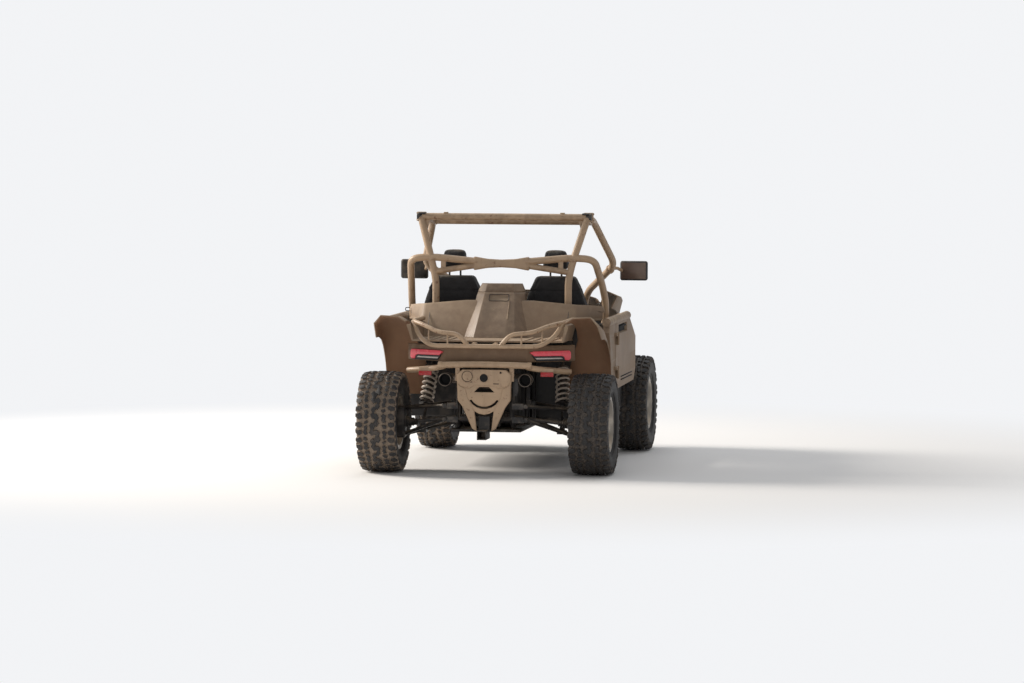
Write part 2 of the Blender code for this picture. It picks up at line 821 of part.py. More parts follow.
# Fenders. Behind the wheel the outer edge sweeps forward as it goes down
REAR_FENDER = (
    # inner edge, crown inside, crown outside, corner, lip, each as x, station, z
    ((0.566, -0.150, 1.066), (0.616, -0.155, 1.098), (0.738, -0.150, 1.104), (0.786, -0.145, 1.048),
     (0.798, 0.000, 0.942)),
    ((0.572, 0.000, 1.062), (0.620, 0.000, 1.088), (0.732, 0.000, 1.086), (0.790, 0.040, 1.020),
     (0.802, 0.120, 0.940)),
    ((0.582, 0.140, 1.042), (0.622, 0.140, 1.062), (0.728, 0.150, 1.056), (0.790, 0.180, 0.985),
     (0.804, 0.230, 0.915)),
    ((0.582, 0.270, 0.992), (0.620, 0.270, 1.010), (0.726, 0.280, 1.000), (0.788, 0.290, 0.930),
     (0.806, 0.310, 0.870)),
    ((0.578, 0.360, 0.920), (0.615, 0.360, 0.930), (0.724, 0.365, 0.915), (0.786, 0.370, 0.860),
     (0.808, 0.372, 0.810)),
    ((0.545, 0.420, 0.830), (0.600, 0.420, 0.835), (0.720, 0.420, 0.820), (0.785, 0.420, 0.780),
     (0.808, 0.415, 0.745)),
    ((0.505, 0.452, 0.700), (0.590, 0.452, 0.700), (0.718, 0.452, 0.690), (0.785, 0.450, 0.670),
     (0.806, 0.445, 0.650)),
    ((0.480, 0.465, 0.520), (0.580, 0.465, 0.520), (0.715, 0.465, 0.520), (0.780, 0.465, 0.520),
     (0.800, 0.460, 0.520)),
)


def make_rear_fender():
    fender = loft([points_at(row) for row in REAR_FENDER], 0.009, 0.0)
    front_y = DOOR_REAR_Y - DOOR_GAP
    quarter = prism(
        [
            (0.44, 0.60),
            (0.48, 0.53),
            (front_y, 0.53),
            (front_y, BELT_Z - 0.01),
            (0.40, BELT_Z - 0.01),
            (0.385, 0.97),
            (0.455, 0.86),
        ],
        "YZ",
        FLANK_X - DOOR_WALL,
        FLANK_X,
    )
    belt_x = FLANK_X - 0.02
    belt = tube(
        points_at(((belt_x, 0.37, BELT_Z), (belt_x, front_y, BELT_Z))), BELT_RADIUS, 0.05, 2
    )
    shelf = box((SILL_X + SEAT_GAP, BULKHEAD_Y + 0.01, 0.53), (FLANK_X - 0.01, front_y - 0.01, 0.56))
    fender = joined([fender, quarter, belt, shelf, *hinge_halves(-1)])
    node_pair(fender, "rear_fender", "tan_plastic")


HOOD = (
    # station ahead of the front axle, crown z, half width, edge z
    (-0.384, 1.208, 0.500, 1.150),
    (-0.25, 1.190, 0.500, 1.130),
    (-0.10, 1.158, 0.475, 1.098),
    (0.05, 1.115, 0.430, 1.057),
    (0.27, 1.010, 0.330, 0.965),
    (0.37, 0.920, 0.300, 0.880),
)
HOOD_EDGE_GAP = 0.0085
VALLEY_WIDTH = 0.035
VALLEY_DEPTH = 0.04

FRONT_FENDER = (
    # for each hood station: crest, tip and underside, each as x, z
    ((0.565, 1.205), (0.655, 1.165), (0.610, 1.075)),
    ((0.562, 1.187), (0.665, 1.150), (0.625, 1.055)),
    ((0.540, 1.157), (0.655, 1.120), (0.625, 1.020)),
    ((0.500, 1.112), (0.625, 1.075), (0.600, 0.970)),
    ((0.430, 1.000), (0.560, 0.965), (0.540, 0.880)),
    ((0.400, 0.905), (0.500, 0.885), (0.490, 0.845)),
)


def make_front_fender():
    rows = []
    for (ahead, _, hood_x, hood_z), section in zip(HOOD, FRONT_FENDER):
        edge = (hood_x + HOOD_EDGE_GAP, hood_z - VALLEY_DEPTH / 2)
        valley = (hood_x + VALLEY_WIDTH, hood_z - VALLEY_DEPTH)
        rows.append([at(x, WHEELBASE + ahead, z) for x, z in (edge, valley, *section)])
    fender = loft(rows, 0.009, 0.0)
    node_pair(fender, "front_fender", "tan_plastic", smooth=20)


def make_hood():
    rows = []
    for ahead, crown_z, half, edge_z in HOOD:
        y = WHEELBASE + ahead
        rows.append(
            points_at(
                (
                    (0.0, y, crown_z),
                    (half * 0.62, y, crown_z - 0.004),
                    (half, y, edge_z),
                    (half + 0.006, y, edge_z - 0.035),
                )
            )
        )
    hood = loft(rows, 0.008, -1.0, mirror=True)
    node(hood, "hood", "tan_plastic", smooth=20)


def make_nose():
    nose_y = WHEELBASE + 0.335
    nose_front_y = nose_y + 0.025
    half = [
        (0.0, 0.9179),
        (0.270, 0.868),
        (0.285, 0.836),
        (0.530, 0.825),
        (0.550, 0.770),
        (0.330, 0.745),
        (0.300, 0.520),
        (0.215, 0.420),
        (0.0, 0.400),
    ]
    slot_low, slot_high, slots = 0.50, 0.80, 5
    pitch = (slot_high - slot_low) / slots
    holes = [
        [
            (side * 0.012, slot_low + pitch * i),
            (side * 0.22, slot_low + pitch * i),
            (side * 0.22, slot_low + pitch * (i + 0.62)),
            (side * 0.012, slot_low + pitch * (i + 0.62)),
        ]
        for i in range(slots)
        for side in (-1, 1)
    ]
    nose = prism(mirror_outline(half), "XZ", nose_y, nose_front_y, holes)
    post_face = WHEELBASE + 0.24 + FRAME_TUBE + SEAT_GAP
    stays = [
        box((RAIL_X - 0.02, post_face, z - 0.02), (RAIL_X + 0.02, nose_y + 0.001, z + 0.02))
        for z in (0.45, 0.72)
    ]
    node(joined([nose, *both(stays)]), "front_grille", "black_plastic")
    lamp = prism(
        [(0.33, 0.765), (0.505, 0.778), (0.515, 0.815), (0.34, 0.826)],
        "XZ",
        nose_front_y + SEAT_GAP,
        nose_front_y + 0.035,
    )
    node_pair(lamp, "headlamp", "lamp_clear")


def make_front_bumper():
    front_y = WHEELBASE + FRONT_OVERHANG - 0.02
    nose_front_y = WHEELBASE + 0.36 + SEAT_GAP
    loop = tube(
        points_at(
            (
                (0.21, front_y, 0.40),
                (0.25, front_y, 0.78),
                (0.0, front_y, 0.80),
            )
        ),
        0.02,
        0.08,
        2,
    )
    bar = tube(points_at(((-0.22, front_y, 0.56), (0.22, front_y, 0.56))), 0.02, 0.05, 2)
    stay = tube(points_at(((0.222, front_y, 0.47), (0.222, nose_front_y, 0.47))), 0.016, 0.05, 2)
    node(joined([bar, *both([loop, stay])]), "front_bumper", "tan_paint")


# Doors, hinged at their rear edge
DOOR_HINGE = (FLANK_X + 0.018, DOOR_REAR_Y - 0.001)
PULL_DEPTH = 0.022
PULL_LOW_Z = 0.940
PULL_HIGH_Z = 1.005


def hinge_halves(side):
    """Barrels and leaves of the two hinges: side 1 is the door's, -1 the body's."""
    hinge_x, hinge_y = DOOR_HINGE
    pieces = []
    for z in (0.66, 0.90):
        low = z - 0.03 if side > 0 else z + 0.03 + SEAT_GAP
        high = low + (0.06 if side > 0 else 0.03)
        near = min(hinge_y + side * 0.004, hinge_y + side * 0.06)
        far = max(hinge_y + side * 0.004, hinge_y + side * 0.06)
        pieces.append(rod(at(hinge_x, hinge_y, low), at(hinge_x, hinge_y, high), 0.009))
        pieces.append(box((FLANK_X - 0.01, near, low + 0.002), (hinge_x, far, high - 0.002)))
    return pieces


def make_doors():
    outline = [
        (DOOR_REAR_Y, DOOR_BOTTOM_Z + 0.02),
        (DOOR_REAR_Y + 0.04, DOOR_BOTTOM_Z),
        (DOOR_FRONT_Y - 0.10, DOOR_BOTTOM_Z + 0.01),
        (DOOR_FRONT_Y, DOOR_BOTTOM_Z + 0.09),
        (DOOR_FRONT_Y, 0.88),
        (DOOR_FRONT_Y - 0.34, BELT_Z - 0.01),
        (DOOR_REAR_Y, BELT_Z - 0.01),
    ]
    skin = prism(outline, "YZ", FLANK_X - DOOR_WALL, FLANK_X)
    belt_x = FLANK_X - 0.02
    belt = tube(
        points_at(((belt_x, DOOR_REAR_Y, BELT_Z), (belt_x, DOOR_FRONT_Y - 0.35, BELT_Z))),
        BELT_RADIUS,
        0.05,
        2,
    )
    pocket = box(
        (FLANK_X - PULL_DEPTH, DOOR_REAR_Y + 0.15, PULL_LOW_Z),
        (FLANK_X + 0.05, DOOR_REAR_Y + 0.62, PULL_HIGH_Z),
    )
    door = joined([cut(skin, [pocket]), belt, *hinge_halves(1)])
    node_pair(door, "door", "tan_plastic", at(*DOOR_HINGE, 0.78))


# Cabin fittings
def make_dash():
    table = (
        # station, low z, shoulder z, high z, low half width, high half width
        (FOOTWELL_Y - 0.18, 0.97, 1.03, 1.08, 0.50, 0.40),
        (FOOTWELL_Y - 0.10, 0.92, 1.04, 1.145, 0.55, 0.40),
        (FOOTWELL_Y - TUB_WALL - SEAT_GAP, 0.92, 1.03, 1.145, 0.55, 0.40),
    )
    rows = []
    for y, low_z, shoulder_z, high_z, low_half, high_half in table:
        rows.append(
            points_at(
                (
                    (-low_half, y, low_z),
                    (low_half, y, low_z),
                    (low_half, y, shoulder_z),
                    (high_half, y, high_z),
                    (-high_half, y, high_z),
                    (-low_half, y, shoulder_z),
                )
            )
        )
    dash = loft(rows, closed=True)
    centre, axis = steering_axis()
    column = rod(centre + axis * 0.03, centre + axis * 0.29, 0.024)
    node(joined([dash, column]), "dashboard", "black_plastic")


def steering_axis():
    """The wheel's centre and the direction from it down the column."""
    centre = at(*STEERING_CENTRE)
    return centre, Vector((0.0, math.cos(COLUMN_TILT), -math.sin(COLUMN_TILT)))


def make_steering_wheel():
    centre, axis = steering_axis()
    turn = axis.to_track_quat("Z", "Y").to_matrix().to_4x4()
    matrix = Matrix.Translation(centre) @ turn
    count = 20
    ring = [
        matrix
        @ Vector(
            (
                STEERING_WHEEL_RADIUS * math.cos(math.tau * i / count),
                STEERING_WHEEL_RADIUS * math.sin(math.tau * i / count),
                0.0,
            )
        )
        for i in range(count)
    ]
    rim = wire(ring, 0.014, ring=True)
    hub = rod(centre - axis * 0.02, centre + axis * (0.03 - SEAT_GAP), 0.04)
    spokes = [
        rod(
            centre,
            matrix
            @ Vector(
                (
                    STEERING_WHEEL_RADIUS * math.cos(math.radians(angle)),
                    STEERING_WHEEL_RADIUS * math.sin(math.radians(angle)),
                    0.0,
                )
            ),
            0.011,
            8,
        )
        for angle in (0, 180, 270)
    ]
    wheel = joined([rim, hub, *spokes])
    node(wheel, "steering_wheel", "black_plastic", centre)


def make_seats():
    table = (
        # station of the front face, station of the back face, z, half width
        (1.28, 0.80, 0.40, 0.20),
        (1.33, 0.76, 0.50, 0.245),
        (1.30, 0.74, 0.575, 0.25),
        (0.92, 0.715, 0.62, 0.245),
        (0.86, 0.70, 0.90, 0.245),
        (0.84, 0.685, 1.16, 0.235),
        (0.83, 0.68, 1.27, 0.215),
        (0.82, 0.675, 1.36, 0.145),
        (0.81, 0.675, 1.40, 0.092),
        (0.81, 0.675, 1.43, 0.096),
        (0.80, 0.68, 1.50, 0.098),
        (0.79, 0.69, 1.545, 0.070),
    )
    rows = []
    for front_y, back_y, z, half in table:
        rows.append(
            points_at(
                (
                    (0.365 - half, back_y, z),
                    (0.365 + half, back_y, z),
                    (0.365 + half, front_y, z),
                    (0.365 - half, front_y, z),
                )
            )
        )
    seat = loft(rows, closed=True)
    mount = box((0.20, 0.86, FLOOR_Z + TUB_WALL + SEAT_GAP), (0.53, 1.22, 0.405))
    node_pair(joined([seat, mount]), "seat", "seat_fabric")


def make_mirrors():
    mirror_y = KINK[1] + 0.206
    housing = box((0.712, mirror_y - 0.021, 1.292), (0.915, mirror_y + 0.024, 1.435), 0.018, 2)
    kink, foot = at(*KINK), at(*COWL_FOOT)
    run = (foot - kink).normalized()
    grip = kink + (foot - kink) * 0.17
    centre = at(0.73, mirror_y, 1.362)
    out = centre - grip
    out = (out - run * out.dot(run)).normalized()
    start = grip + out * (CAGE_TUBE + SEAT_GAP)
    arm = tube([start, start + out * 0.03, centre], 0.011, 0.03, 1)
    node_pair(joined([housing, arm]), "mirror", "black_plastic")


# Engine, exhaust and drive
def make_power():
    engine = box((-0.205, 0.10, BELLY_TOP_Z + SEAT_GAP), (0.205, 0.49, 0.80), 0.02)
    node(engine, "engine", "engine_grey")

    can = rod(at(-0.18, -0.02, 0.665), at(0.18, -0.02, 0.665), 0.07, 16)
    header = rod(at(0, 0.0, 0.665), at(0, 0.10 - SEAT_GAP, 0.665), 0.028)
    tips = []
    for side in (-1, 1):
        elbow = tube(
            points_at(
                (
                    (side * 0.15, -0.02, 0.665),
                    (side * 0.282, -0.02, 0.665),
                    (side * 0.282, -0.10, 0.663),
                )
            ),
            0.034,
            0.06,
            2,
        )
        bell = rod(at(side * 0.282, -0.06, 0.663), at(side * 0.282, -0.165, 0.663), 0.046, 16)
        bore = rod(at(side * 0.282, -0.08, 0.663), at(side * 0.282, -0.2, 0.663), 0.040, 16)
        tips.append(cut(joined([elbow, bell]), [bore]))
    node(joined([can, header, *tips]), "exhaust", "exhaust_steel")

    for name, station, reach in (
        ("rear_drive", 0.0, CARRIER_FACE_X - SEAT_GAP),
        ("front_drive", WHEELBASE, FRONT_BOOT_X),
    ):
        case = box(
            (-0.10, station - 0.075, BELLY_TOP_Z + SEAT_GAP), (0.10, station + 0.075, DRIVE_Z + 0.06), 0.02
        )
        shaft = rod(at(0.14, station, DRIVE_Z), at(reach - 0.05, station, TYRE_RADIUS), 0.014, 8)
        boots = [
            rod(at(x, station, z), at(x + length, station, z), 0.045, 12, 0.02)
            for x, z, length in ((0.09, DRIVE_Z, 0.09), (reach, TYRE_RADIUS, -0.09))
        ]
        node(joined([case, *both([shaft, *boots])]), name, "black_steel")


# Suspension
def wishbone(outer, pivots):
    """Two tubes from the outer joint to barrels beside the frame's pads."""
    pieces = []
    for _, y, z, _ in pivots:
        x = PIVOT_FACE_X + SEAT_GAP + BARREL_RADIUS
        pieces.append(tube(points_at((outer, (x, y, z))), ARM_TUBE, 0.05, 1))
        pieces.append(rod(at(x, y - 0.025, z), at(x, y + 0.025, z), BARREL_RADIUS, 8))
    return pieces


def make_suspension():
    joint_x = CARRIER_FACE_X + 0.035
    lower = wishbone((joint_x, 0.0, 0.262), ARM_PIVOTS[0:2])
    upper = wishbone((joint_x, 0.0, 0.45), ARM_PIVOTS[2:4])
    carrier = [
        box((CARRIER_FACE_X, -0.045, 0.245), (CARRIER_FACE_X + 0.065, 0.045, 0.465), 0.008),
        rod(
            at(CARRIER_FACE_X + 0.055, 0.0, TYRE_RADIUS),
            at(WHEEL_X - SPINDLE_FACE - SEAT_GAP, 0.0, TYRE_RADIUS),
            0.03,
        ),
    ]
    link = box((PIVOT_FACE_X + 0.004, 0.23, 0.33), (PIVOT_FACE_X + 0.028, 0.25, 0.47))
    eye = SHOCKS[0][2]
    foot = box((eye[0] - 0.03, 0.13, 0.27), (eye[0] + 0.03, eye[1] + 0.022, 0.295))
    node_pair(
        joined([*carrier, *lower, *upper, link, foot, *clevis(eye, 0.28, eye[2] + 0.006)]),
        "rear_arms",
        "black_steel",
    )


def make_front_arms():
    axle = WHEELBASE
    ball_x = KINGPIN_X
    lower = wishbone((ball_x, axle, 0.240), ARM_PIVOTS[4:6])
    upper = wishbone((ball_x, axle, 0.470), ARM_PIVOTS[6:8])
    link = box(
        (PIVOT_FACE_X + 0.004, axle - 0.15, RAIL_Z), (PIVOT_FACE_X + 0.028, axle - 0.13, UPPER_PIVOT_Z)
    )
    eye = SHOCKS[1][2]
    foot = box((eye[0] - 0.03, axle - 0.085, 0.266), (eye[0] + 0.03, axle + 0.085, 0.290))
    cups = [
        rod(at(ball_x, axle, 0.222), at(ball_x, axle, KINGPIN_LOW_Z - SEAT_GAP), 0.022),
        rod(at(ball_x, axle, KINGPIN_TOP_Z + SEAT_GAP), at(ball_x, axle, 0.488), 0.022),
    ]
    node_pair(
        joined([*lower, *upper, link, foot, *clevis(eye, 0.28, eye[2] + 0.006), *cups]),
        "front_arms",
        "black_steel",
    )

    upright = box((ball_x - 0.022, axle - 0.03, 0.276), (ball_x + 0.022, axle + 0.03, 0.436), 0.006)
    kingpin = rod(at(ball_x, axle, KINGPIN_LOW_Z), at(ball_x, axle, KINGPIN_TOP_Z), 0.018)
    spindle = rod(
        at(ball_x, axle, TYRE_RADIUS),
        at(WHEEL_X - SPINDLE_FACE - SEAT_GAP, axle, TYRE_RADIUS),
        0.03,
    )
    arm_low = TRACK_ROD_Z + TRACK_ROD_RADIUS + 2 * SEAT_GAP
    arm = box((ball_x - 0.014, axle - STEER_ARM - 0.016, arm_low), (ball_x + 0.014, axle, arm_low + 0.018))
    node_pair(
        joined([upright, kingpin, spindle, arm]),
        "front_knuckle",
        "black_steel",
        at(ball_x, axle, TYRE_RADIUS),
    )


def make_steering_rack():
    y = WHEELBASE - STEER_ARM
    top = TRACK_ROD_Z + TRACK_ROD_RADIUS + SEAT_GAP
    track_rod = rod(at(-KINGPIN_X, y, TRACK_ROD_Z), at(KINGPIN_X, y, TRACK_ROD_Z), TRACK_ROD_RADIUS, 10)
    eyes = [
        rod(at(side * KINGPIN_X, y, TRACK_ROD_Z - 0.012), at(side * KINGPIN_X, y, top), 0.016)
        for side in (-1, 1)
    ]
    node(joined([track_rod, *eyes]), "track_rod", "black_steel", at(0, y, TRACK_ROD_Z))


def make_shocks():
    for name, upper, lower, below in SHOCKS:
        top, bottom = at(*upper), at(*lower)
        along = (bottom - top).normalized()
        length = (bottom - top).length
        turn = along.to_track_quat("Z", "Y").to_matrix().to_4x4()
        matrix = Matrix.Translation(top) @ turn
        seat_top, seat_bottom = 0.070, length - below
        count = COIL_TURNS * 6
        helix = [
            matrix
            @ Vector(
                (
                    COIL_RADIUS * math.cos(math.tau * COIL_TURNS * i / count),
                    COIL_RADIUS * math.sin(math.tau * COIL_TURNS * i / count),
                    seat_top + (seat_bottom - seat_top) * i / count,
                )
            )
            for i in range(count + 1)
        ]
        coil = wire(helix, COIL_WIRE, 0)
        sections = (
            # from, to, radius, sides
            (0.0, 0.06, 0.009, 8),
            (0.05, seat_bottom + 0.02, 0.024, 10),
            (seat_bottom, length, 0.010, 8),
            (seat_top - 0.008, seat_top + 0.008, SEAT_RADIUS, 10),
            (seat_bottom - 0.008, seat_bottom + 0.008, SEAT_RADIUS, 10),
        )
        pieces = [
            rod(matrix @ Vector((0, 0, low)), matrix @ Vector((0, 0, high)), radius, sides)
            for low, high, radius, sides in sections
        ]
        for x, y, z in (upper, lower):
            pieces.append(rod(at(x, y - EYE_HALF, z), at(x, y + EYE_HALF, z), EYE_RADIUS, 8))
        node_pair(joined([coil, *pieces]), name, "spring_steel")


# Wheels
# A tread face lies flat on the ground under the axle
WHEEL_START = math.pi / WHEEL_STEPS
FLANGE_RADIUS = 0.195
TREAD_RADIUS = 0.339
LUG_EDGE = 0.97
LUG_SPLIT = 0.50
LUG_LEAN = math.radians(14)
LUG_DROP = 0.006
LUG_TAPER = 0.80


def add_lugs(tyre, centre, half):
    """Raises every other tread face of each column into a block, turned from row to row."""
    bm = bmesh.new()
    bm.from_mesh(tyre.data)
    step = math.tau / WHEEL_STEPS
    blocks = []
    for face in bm.faces:
        middle = face.calc_center_median() - centre
        radius = math.hypot(middle.y, middle.z)
        if radius < TREAD_RADIUS - 0.020 or abs(middle.x) > LUG_EDGE * half:
            continue
        place = round(math.atan2(middle.y, middle.z) / step)
        inner = abs(middle.x) < LUG_SPLIT * half
        if (place + (middle.x > 0) + inner) % 2 == 0:
            blocks.append(face)
    raised = bmesh.ops.extrude_discrete_faces(bm, faces=blocks)["faces"]
    for face in raised:
        middle = face.calc_center_median() - centre
        out = Vector((0.0, middle.y, middle.z)).normalized()
        inner = abs(middle.x) < LUG_SPLIT * half
        lean = Matrix.Rotation(math.copysign(LUG_LEAN if inner else -LUG_LEAN / 2, middle.x), 3, out)
        top = TYRE_RADIUS if inner else TYRE_RADIUS - LUG_DROP
        for vert in face.verts:
            place = lean @ ((vert.co - centre - middle) * LUG_TAPER) + middle
            place += out * (top - place.dot(out))
            vert.co = centre + place
    bm.to_mesh(tyre.data)
    bm.free()
    return tyre


def make_wheels():
    for end, station, width in (
        ("rear", 0.0, REAR_TYRE_WIDTH),
        ("front", WHEELBASE, FRONT_TYRE_WIDTH),
    ):
        half = width / 2
        centre = at(WHEEL_X, station, TYRE_RADIUS)
        side = [
            (0.750 * half, BEAD_RADIUS + SEAT_GAP),
            (0.750 * half, FLANGE_RADIUS + 0.003),
            (0.955 * half, 0.228),
            (1.000 * half, 0.285),
            (0.960 * half, 0.324),
            (LUG_SPLIT * half, TREAD_RADIUS - 0.002),
        ]
        profile = [*side, (0.0, TREAD_RADIUS), *[(-x, r) for x, r in reversed(side)]]
        tyre = add_lugs(lathe(profile, centre, WHEEL_STEPS, WHEEL_START), centre, half)
        node_pair(tyre, f"{end}_tyre", "rubber", centre)

        flange = [
            (-0.82, BEAD_RADIUS - 0.012),
            (-0.82, FLANGE_RADIUS),
            (-0.76, BEAD_RADIUS),
            (0.76, BEAD_RADIUS),
            (0.82, FLANGE_RADIUS),
            (0.82, BEAD_RADIUS - 0.012),
        ]
        barrel = lathe([(x * half, r) for x, r in flange], centre, WHEEL_STEPS, WHEEL_START)
        hub = rod(
            centre + Vector((-SPINDLE_FACE, 0, 0)), centre + Vector((0.52 * half, 0, 0)), 0.05, 14
        )
        spokes = []
        count = 10
        for i in range(count):
            angle = math.tau * i / count
            bm = bmesh.new()
            bmesh.ops.create_cube(bm, size=1.0)
            bmesh.ops.scale(bm, vec=(0.022, 0.030, 0.14), verts=bm.verts)
            bmesh.ops.translate(bm, vec=(0.42 * half, 0.0, 0.102), verts=bm.verts)
            bmesh.ops.rotate(
                bm, matrix=Matrix.Rotation(angle, 3, "X"), cent=(0, 0, 0), verts=bm.verts
            )
            bmesh.ops.translate(bm, vec=centre, verts=bm.verts)
            spokes.append(from_bmesh(bm))
        node_pair(joined([barrel, hub, *spokes]), f"{end}_rim", "alloy", centre)


def main():
    start_scene()
    make_materials()
    make_frame()
    make_cage()
    make_tub()
    make_deck()
    make_engine_cover()
    make_fascia()
    make_rear_bumper()
    make_guard()
    make_rack()
    make_rear_fender()
    make_front_fender()
    make_hood()
    make_nose()
    make_front_bumper()
    make_doors()
    make_dash()
    make_steering_wheel()
    make_seats()
    make_mirrors()
    make_power()
    make_suspension()
    make_front_arms()
    make_steering_rack()
    make_shocks()
    make_wheels()


main()
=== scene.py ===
# Looks for the dune buggy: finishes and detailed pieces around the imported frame.
# Metres. The y given to at() is measured forward from the rear axle, as in the frame's own tables.
import json
import math
import random

import bmesh
import bpy
from mathutils import Matrix, Vector

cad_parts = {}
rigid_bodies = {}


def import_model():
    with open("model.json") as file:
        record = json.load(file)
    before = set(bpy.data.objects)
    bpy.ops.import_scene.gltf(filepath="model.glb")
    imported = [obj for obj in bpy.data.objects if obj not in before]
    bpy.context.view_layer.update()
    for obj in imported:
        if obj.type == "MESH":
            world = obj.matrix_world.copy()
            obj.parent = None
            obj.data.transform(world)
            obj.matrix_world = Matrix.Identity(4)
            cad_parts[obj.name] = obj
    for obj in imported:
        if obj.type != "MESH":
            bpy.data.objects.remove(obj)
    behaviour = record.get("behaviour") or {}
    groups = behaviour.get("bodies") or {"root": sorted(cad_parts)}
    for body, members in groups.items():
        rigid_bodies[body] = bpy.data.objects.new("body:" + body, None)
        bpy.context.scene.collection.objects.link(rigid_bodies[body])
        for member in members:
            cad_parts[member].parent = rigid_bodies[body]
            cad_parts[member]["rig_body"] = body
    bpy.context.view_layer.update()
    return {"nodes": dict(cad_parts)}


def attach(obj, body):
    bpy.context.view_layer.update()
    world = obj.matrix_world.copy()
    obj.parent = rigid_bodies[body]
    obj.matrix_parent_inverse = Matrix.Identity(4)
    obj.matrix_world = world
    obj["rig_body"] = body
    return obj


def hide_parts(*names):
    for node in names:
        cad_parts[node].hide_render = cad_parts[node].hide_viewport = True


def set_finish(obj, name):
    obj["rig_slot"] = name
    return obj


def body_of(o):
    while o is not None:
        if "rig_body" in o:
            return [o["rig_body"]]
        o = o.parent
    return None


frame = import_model()
nodes = frame["nodes"]
print("frame loaded with", len(nodes), "nodes")

layout = {
    "rearAxleY": -1.1875,
    "wheelbase": 2.25,
    "wheelX": 0.744,
    "tyreRadius": 0.355,
    "sides": (1, -1),
}


def at(x, y, z):
    return Vector((x, y + layout["rearAxleY"], z))


def pathAt(rows, side=1):
    return [at(side * x, y, z) for x, y, z in rows]


# Shader nodes, written as arithmetic on sockets
class Socket:
    def __init__(self, finish, socket):
        self.finish = finish
        self.socket = socket

    def maths(self, operation, first, second):
        return self.finish.node("ShaderNodeMath", {"operation": operation}, {0: first, 1: second})

    def __add__(self, other):
        return self.maths("ADD", self, other)

    def __radd__(self, other):
        return self.maths("ADD", other, self)

    def __sub__(self, other):
        return self.maths("SUBTRACT", self, other)

    def __rsub__(self, other):
        return self.maths("SUBTRACT", other, self)

    def __mul__(self, other):
        return self.maths("MULTIPLY", self, other)

    def __rmul__(self, other):
        return self.maths("MULTIPLY", other, self)

    def __truediv__(self, other):
        return self.maths("DIVIDE", self, other)

    def __pow__(self, other):
        return self.maths("POWER", self, other)


class Finish:
    def __init__(self, name, world=False):
        self.material = (bpy.data.worlds if world else bpy.data.materials).new(name)
        self.material.use_nodes = True
        self.tree = self.material.node_tree
        self.shader = self.tree.nodes["Background" if world else "Principled BSDF"]
        self.place = None if world else self.node("ShaderNodeTexCoord", output=3)

    def node(self, kind, settings=None, inputs=None, output=0):
        made = self.tree.nodes.new(kind)
        for key, value in (settings or {}).items():
            setattr(made, key, value)
        for key, value in (inputs or {}).items():
            self.feed(made.inputs[key], value)
        return Socket(self, made.outputs[output])

    def feed(self, target, value):
        if isinstance(value, Socket):
            self.tree.links.new(value.socket, target)
        else:
            target.default_value = value

    def shade(self, **values):  # keys are the shader's sockets with underscores for spaces
        for key, value in values.items():
            self.feed(self.shader.inputs[key.replace("_", " ")], value)

    def noise(self, scale, detail=3, roughness=0.55, where=None):
        inputs = {"Vector": where or self.place, "Scale": scale, "Detail": detail, "Roughness": roughness}
        return self.node("ShaderNodeTexNoise", inputs=inputs)

    def stretched(self, size):
        return self.node("ShaderNodeMapping", inputs={"Vector": self.place, "Scale": size})

    def band(self, value, low, high):
        inputs = {0: value, 1: low, 2: high, 3: 0.0, 4: 1.0}
        return self.node("ShaderNodeMapRange", {"interpolation_type": "SMOOTHSTEP"}, inputs)

    def mix(self, factor, first, second, mode="MIX"):
        settings = {"data_type": "RGBA", "blend_type": mode}
        return self.node("ShaderNodeMix", settings, {0: factor, 6: first, 7: second}, 2)

    def bump(self, height, distance, strength=1.0, under=None):
        inputs = {"Height": height, "Distance": distance, "Strength": strength}
        if under:
            inputs["Normal"] = under
        return self.node("ShaderNodeBump", inputs=inputs)

    def upward(self):  # how far the surface faces up, on the piece's own axes
        normal = self.node("ShaderNodeTexCoord", output=1)
        return self.node("ShaderNodeSeparateXYZ", inputs={0: normal}, output=2)

    def edges(self):  # above a half on worn edges, below in corners
        return self.node("ShaderNodeNewGeometry", output=7)


def tone(red, green, blue):  # a colour as it shows on screen, 0 to 255
    linear = [
        part / 12.92 if part <= 0.04045 else ((part + 0.055) / 1.055) ** 2.4
        for part in (red / 255, green / 255, blue / 255)
    ]
    return (*linear, 1.0)


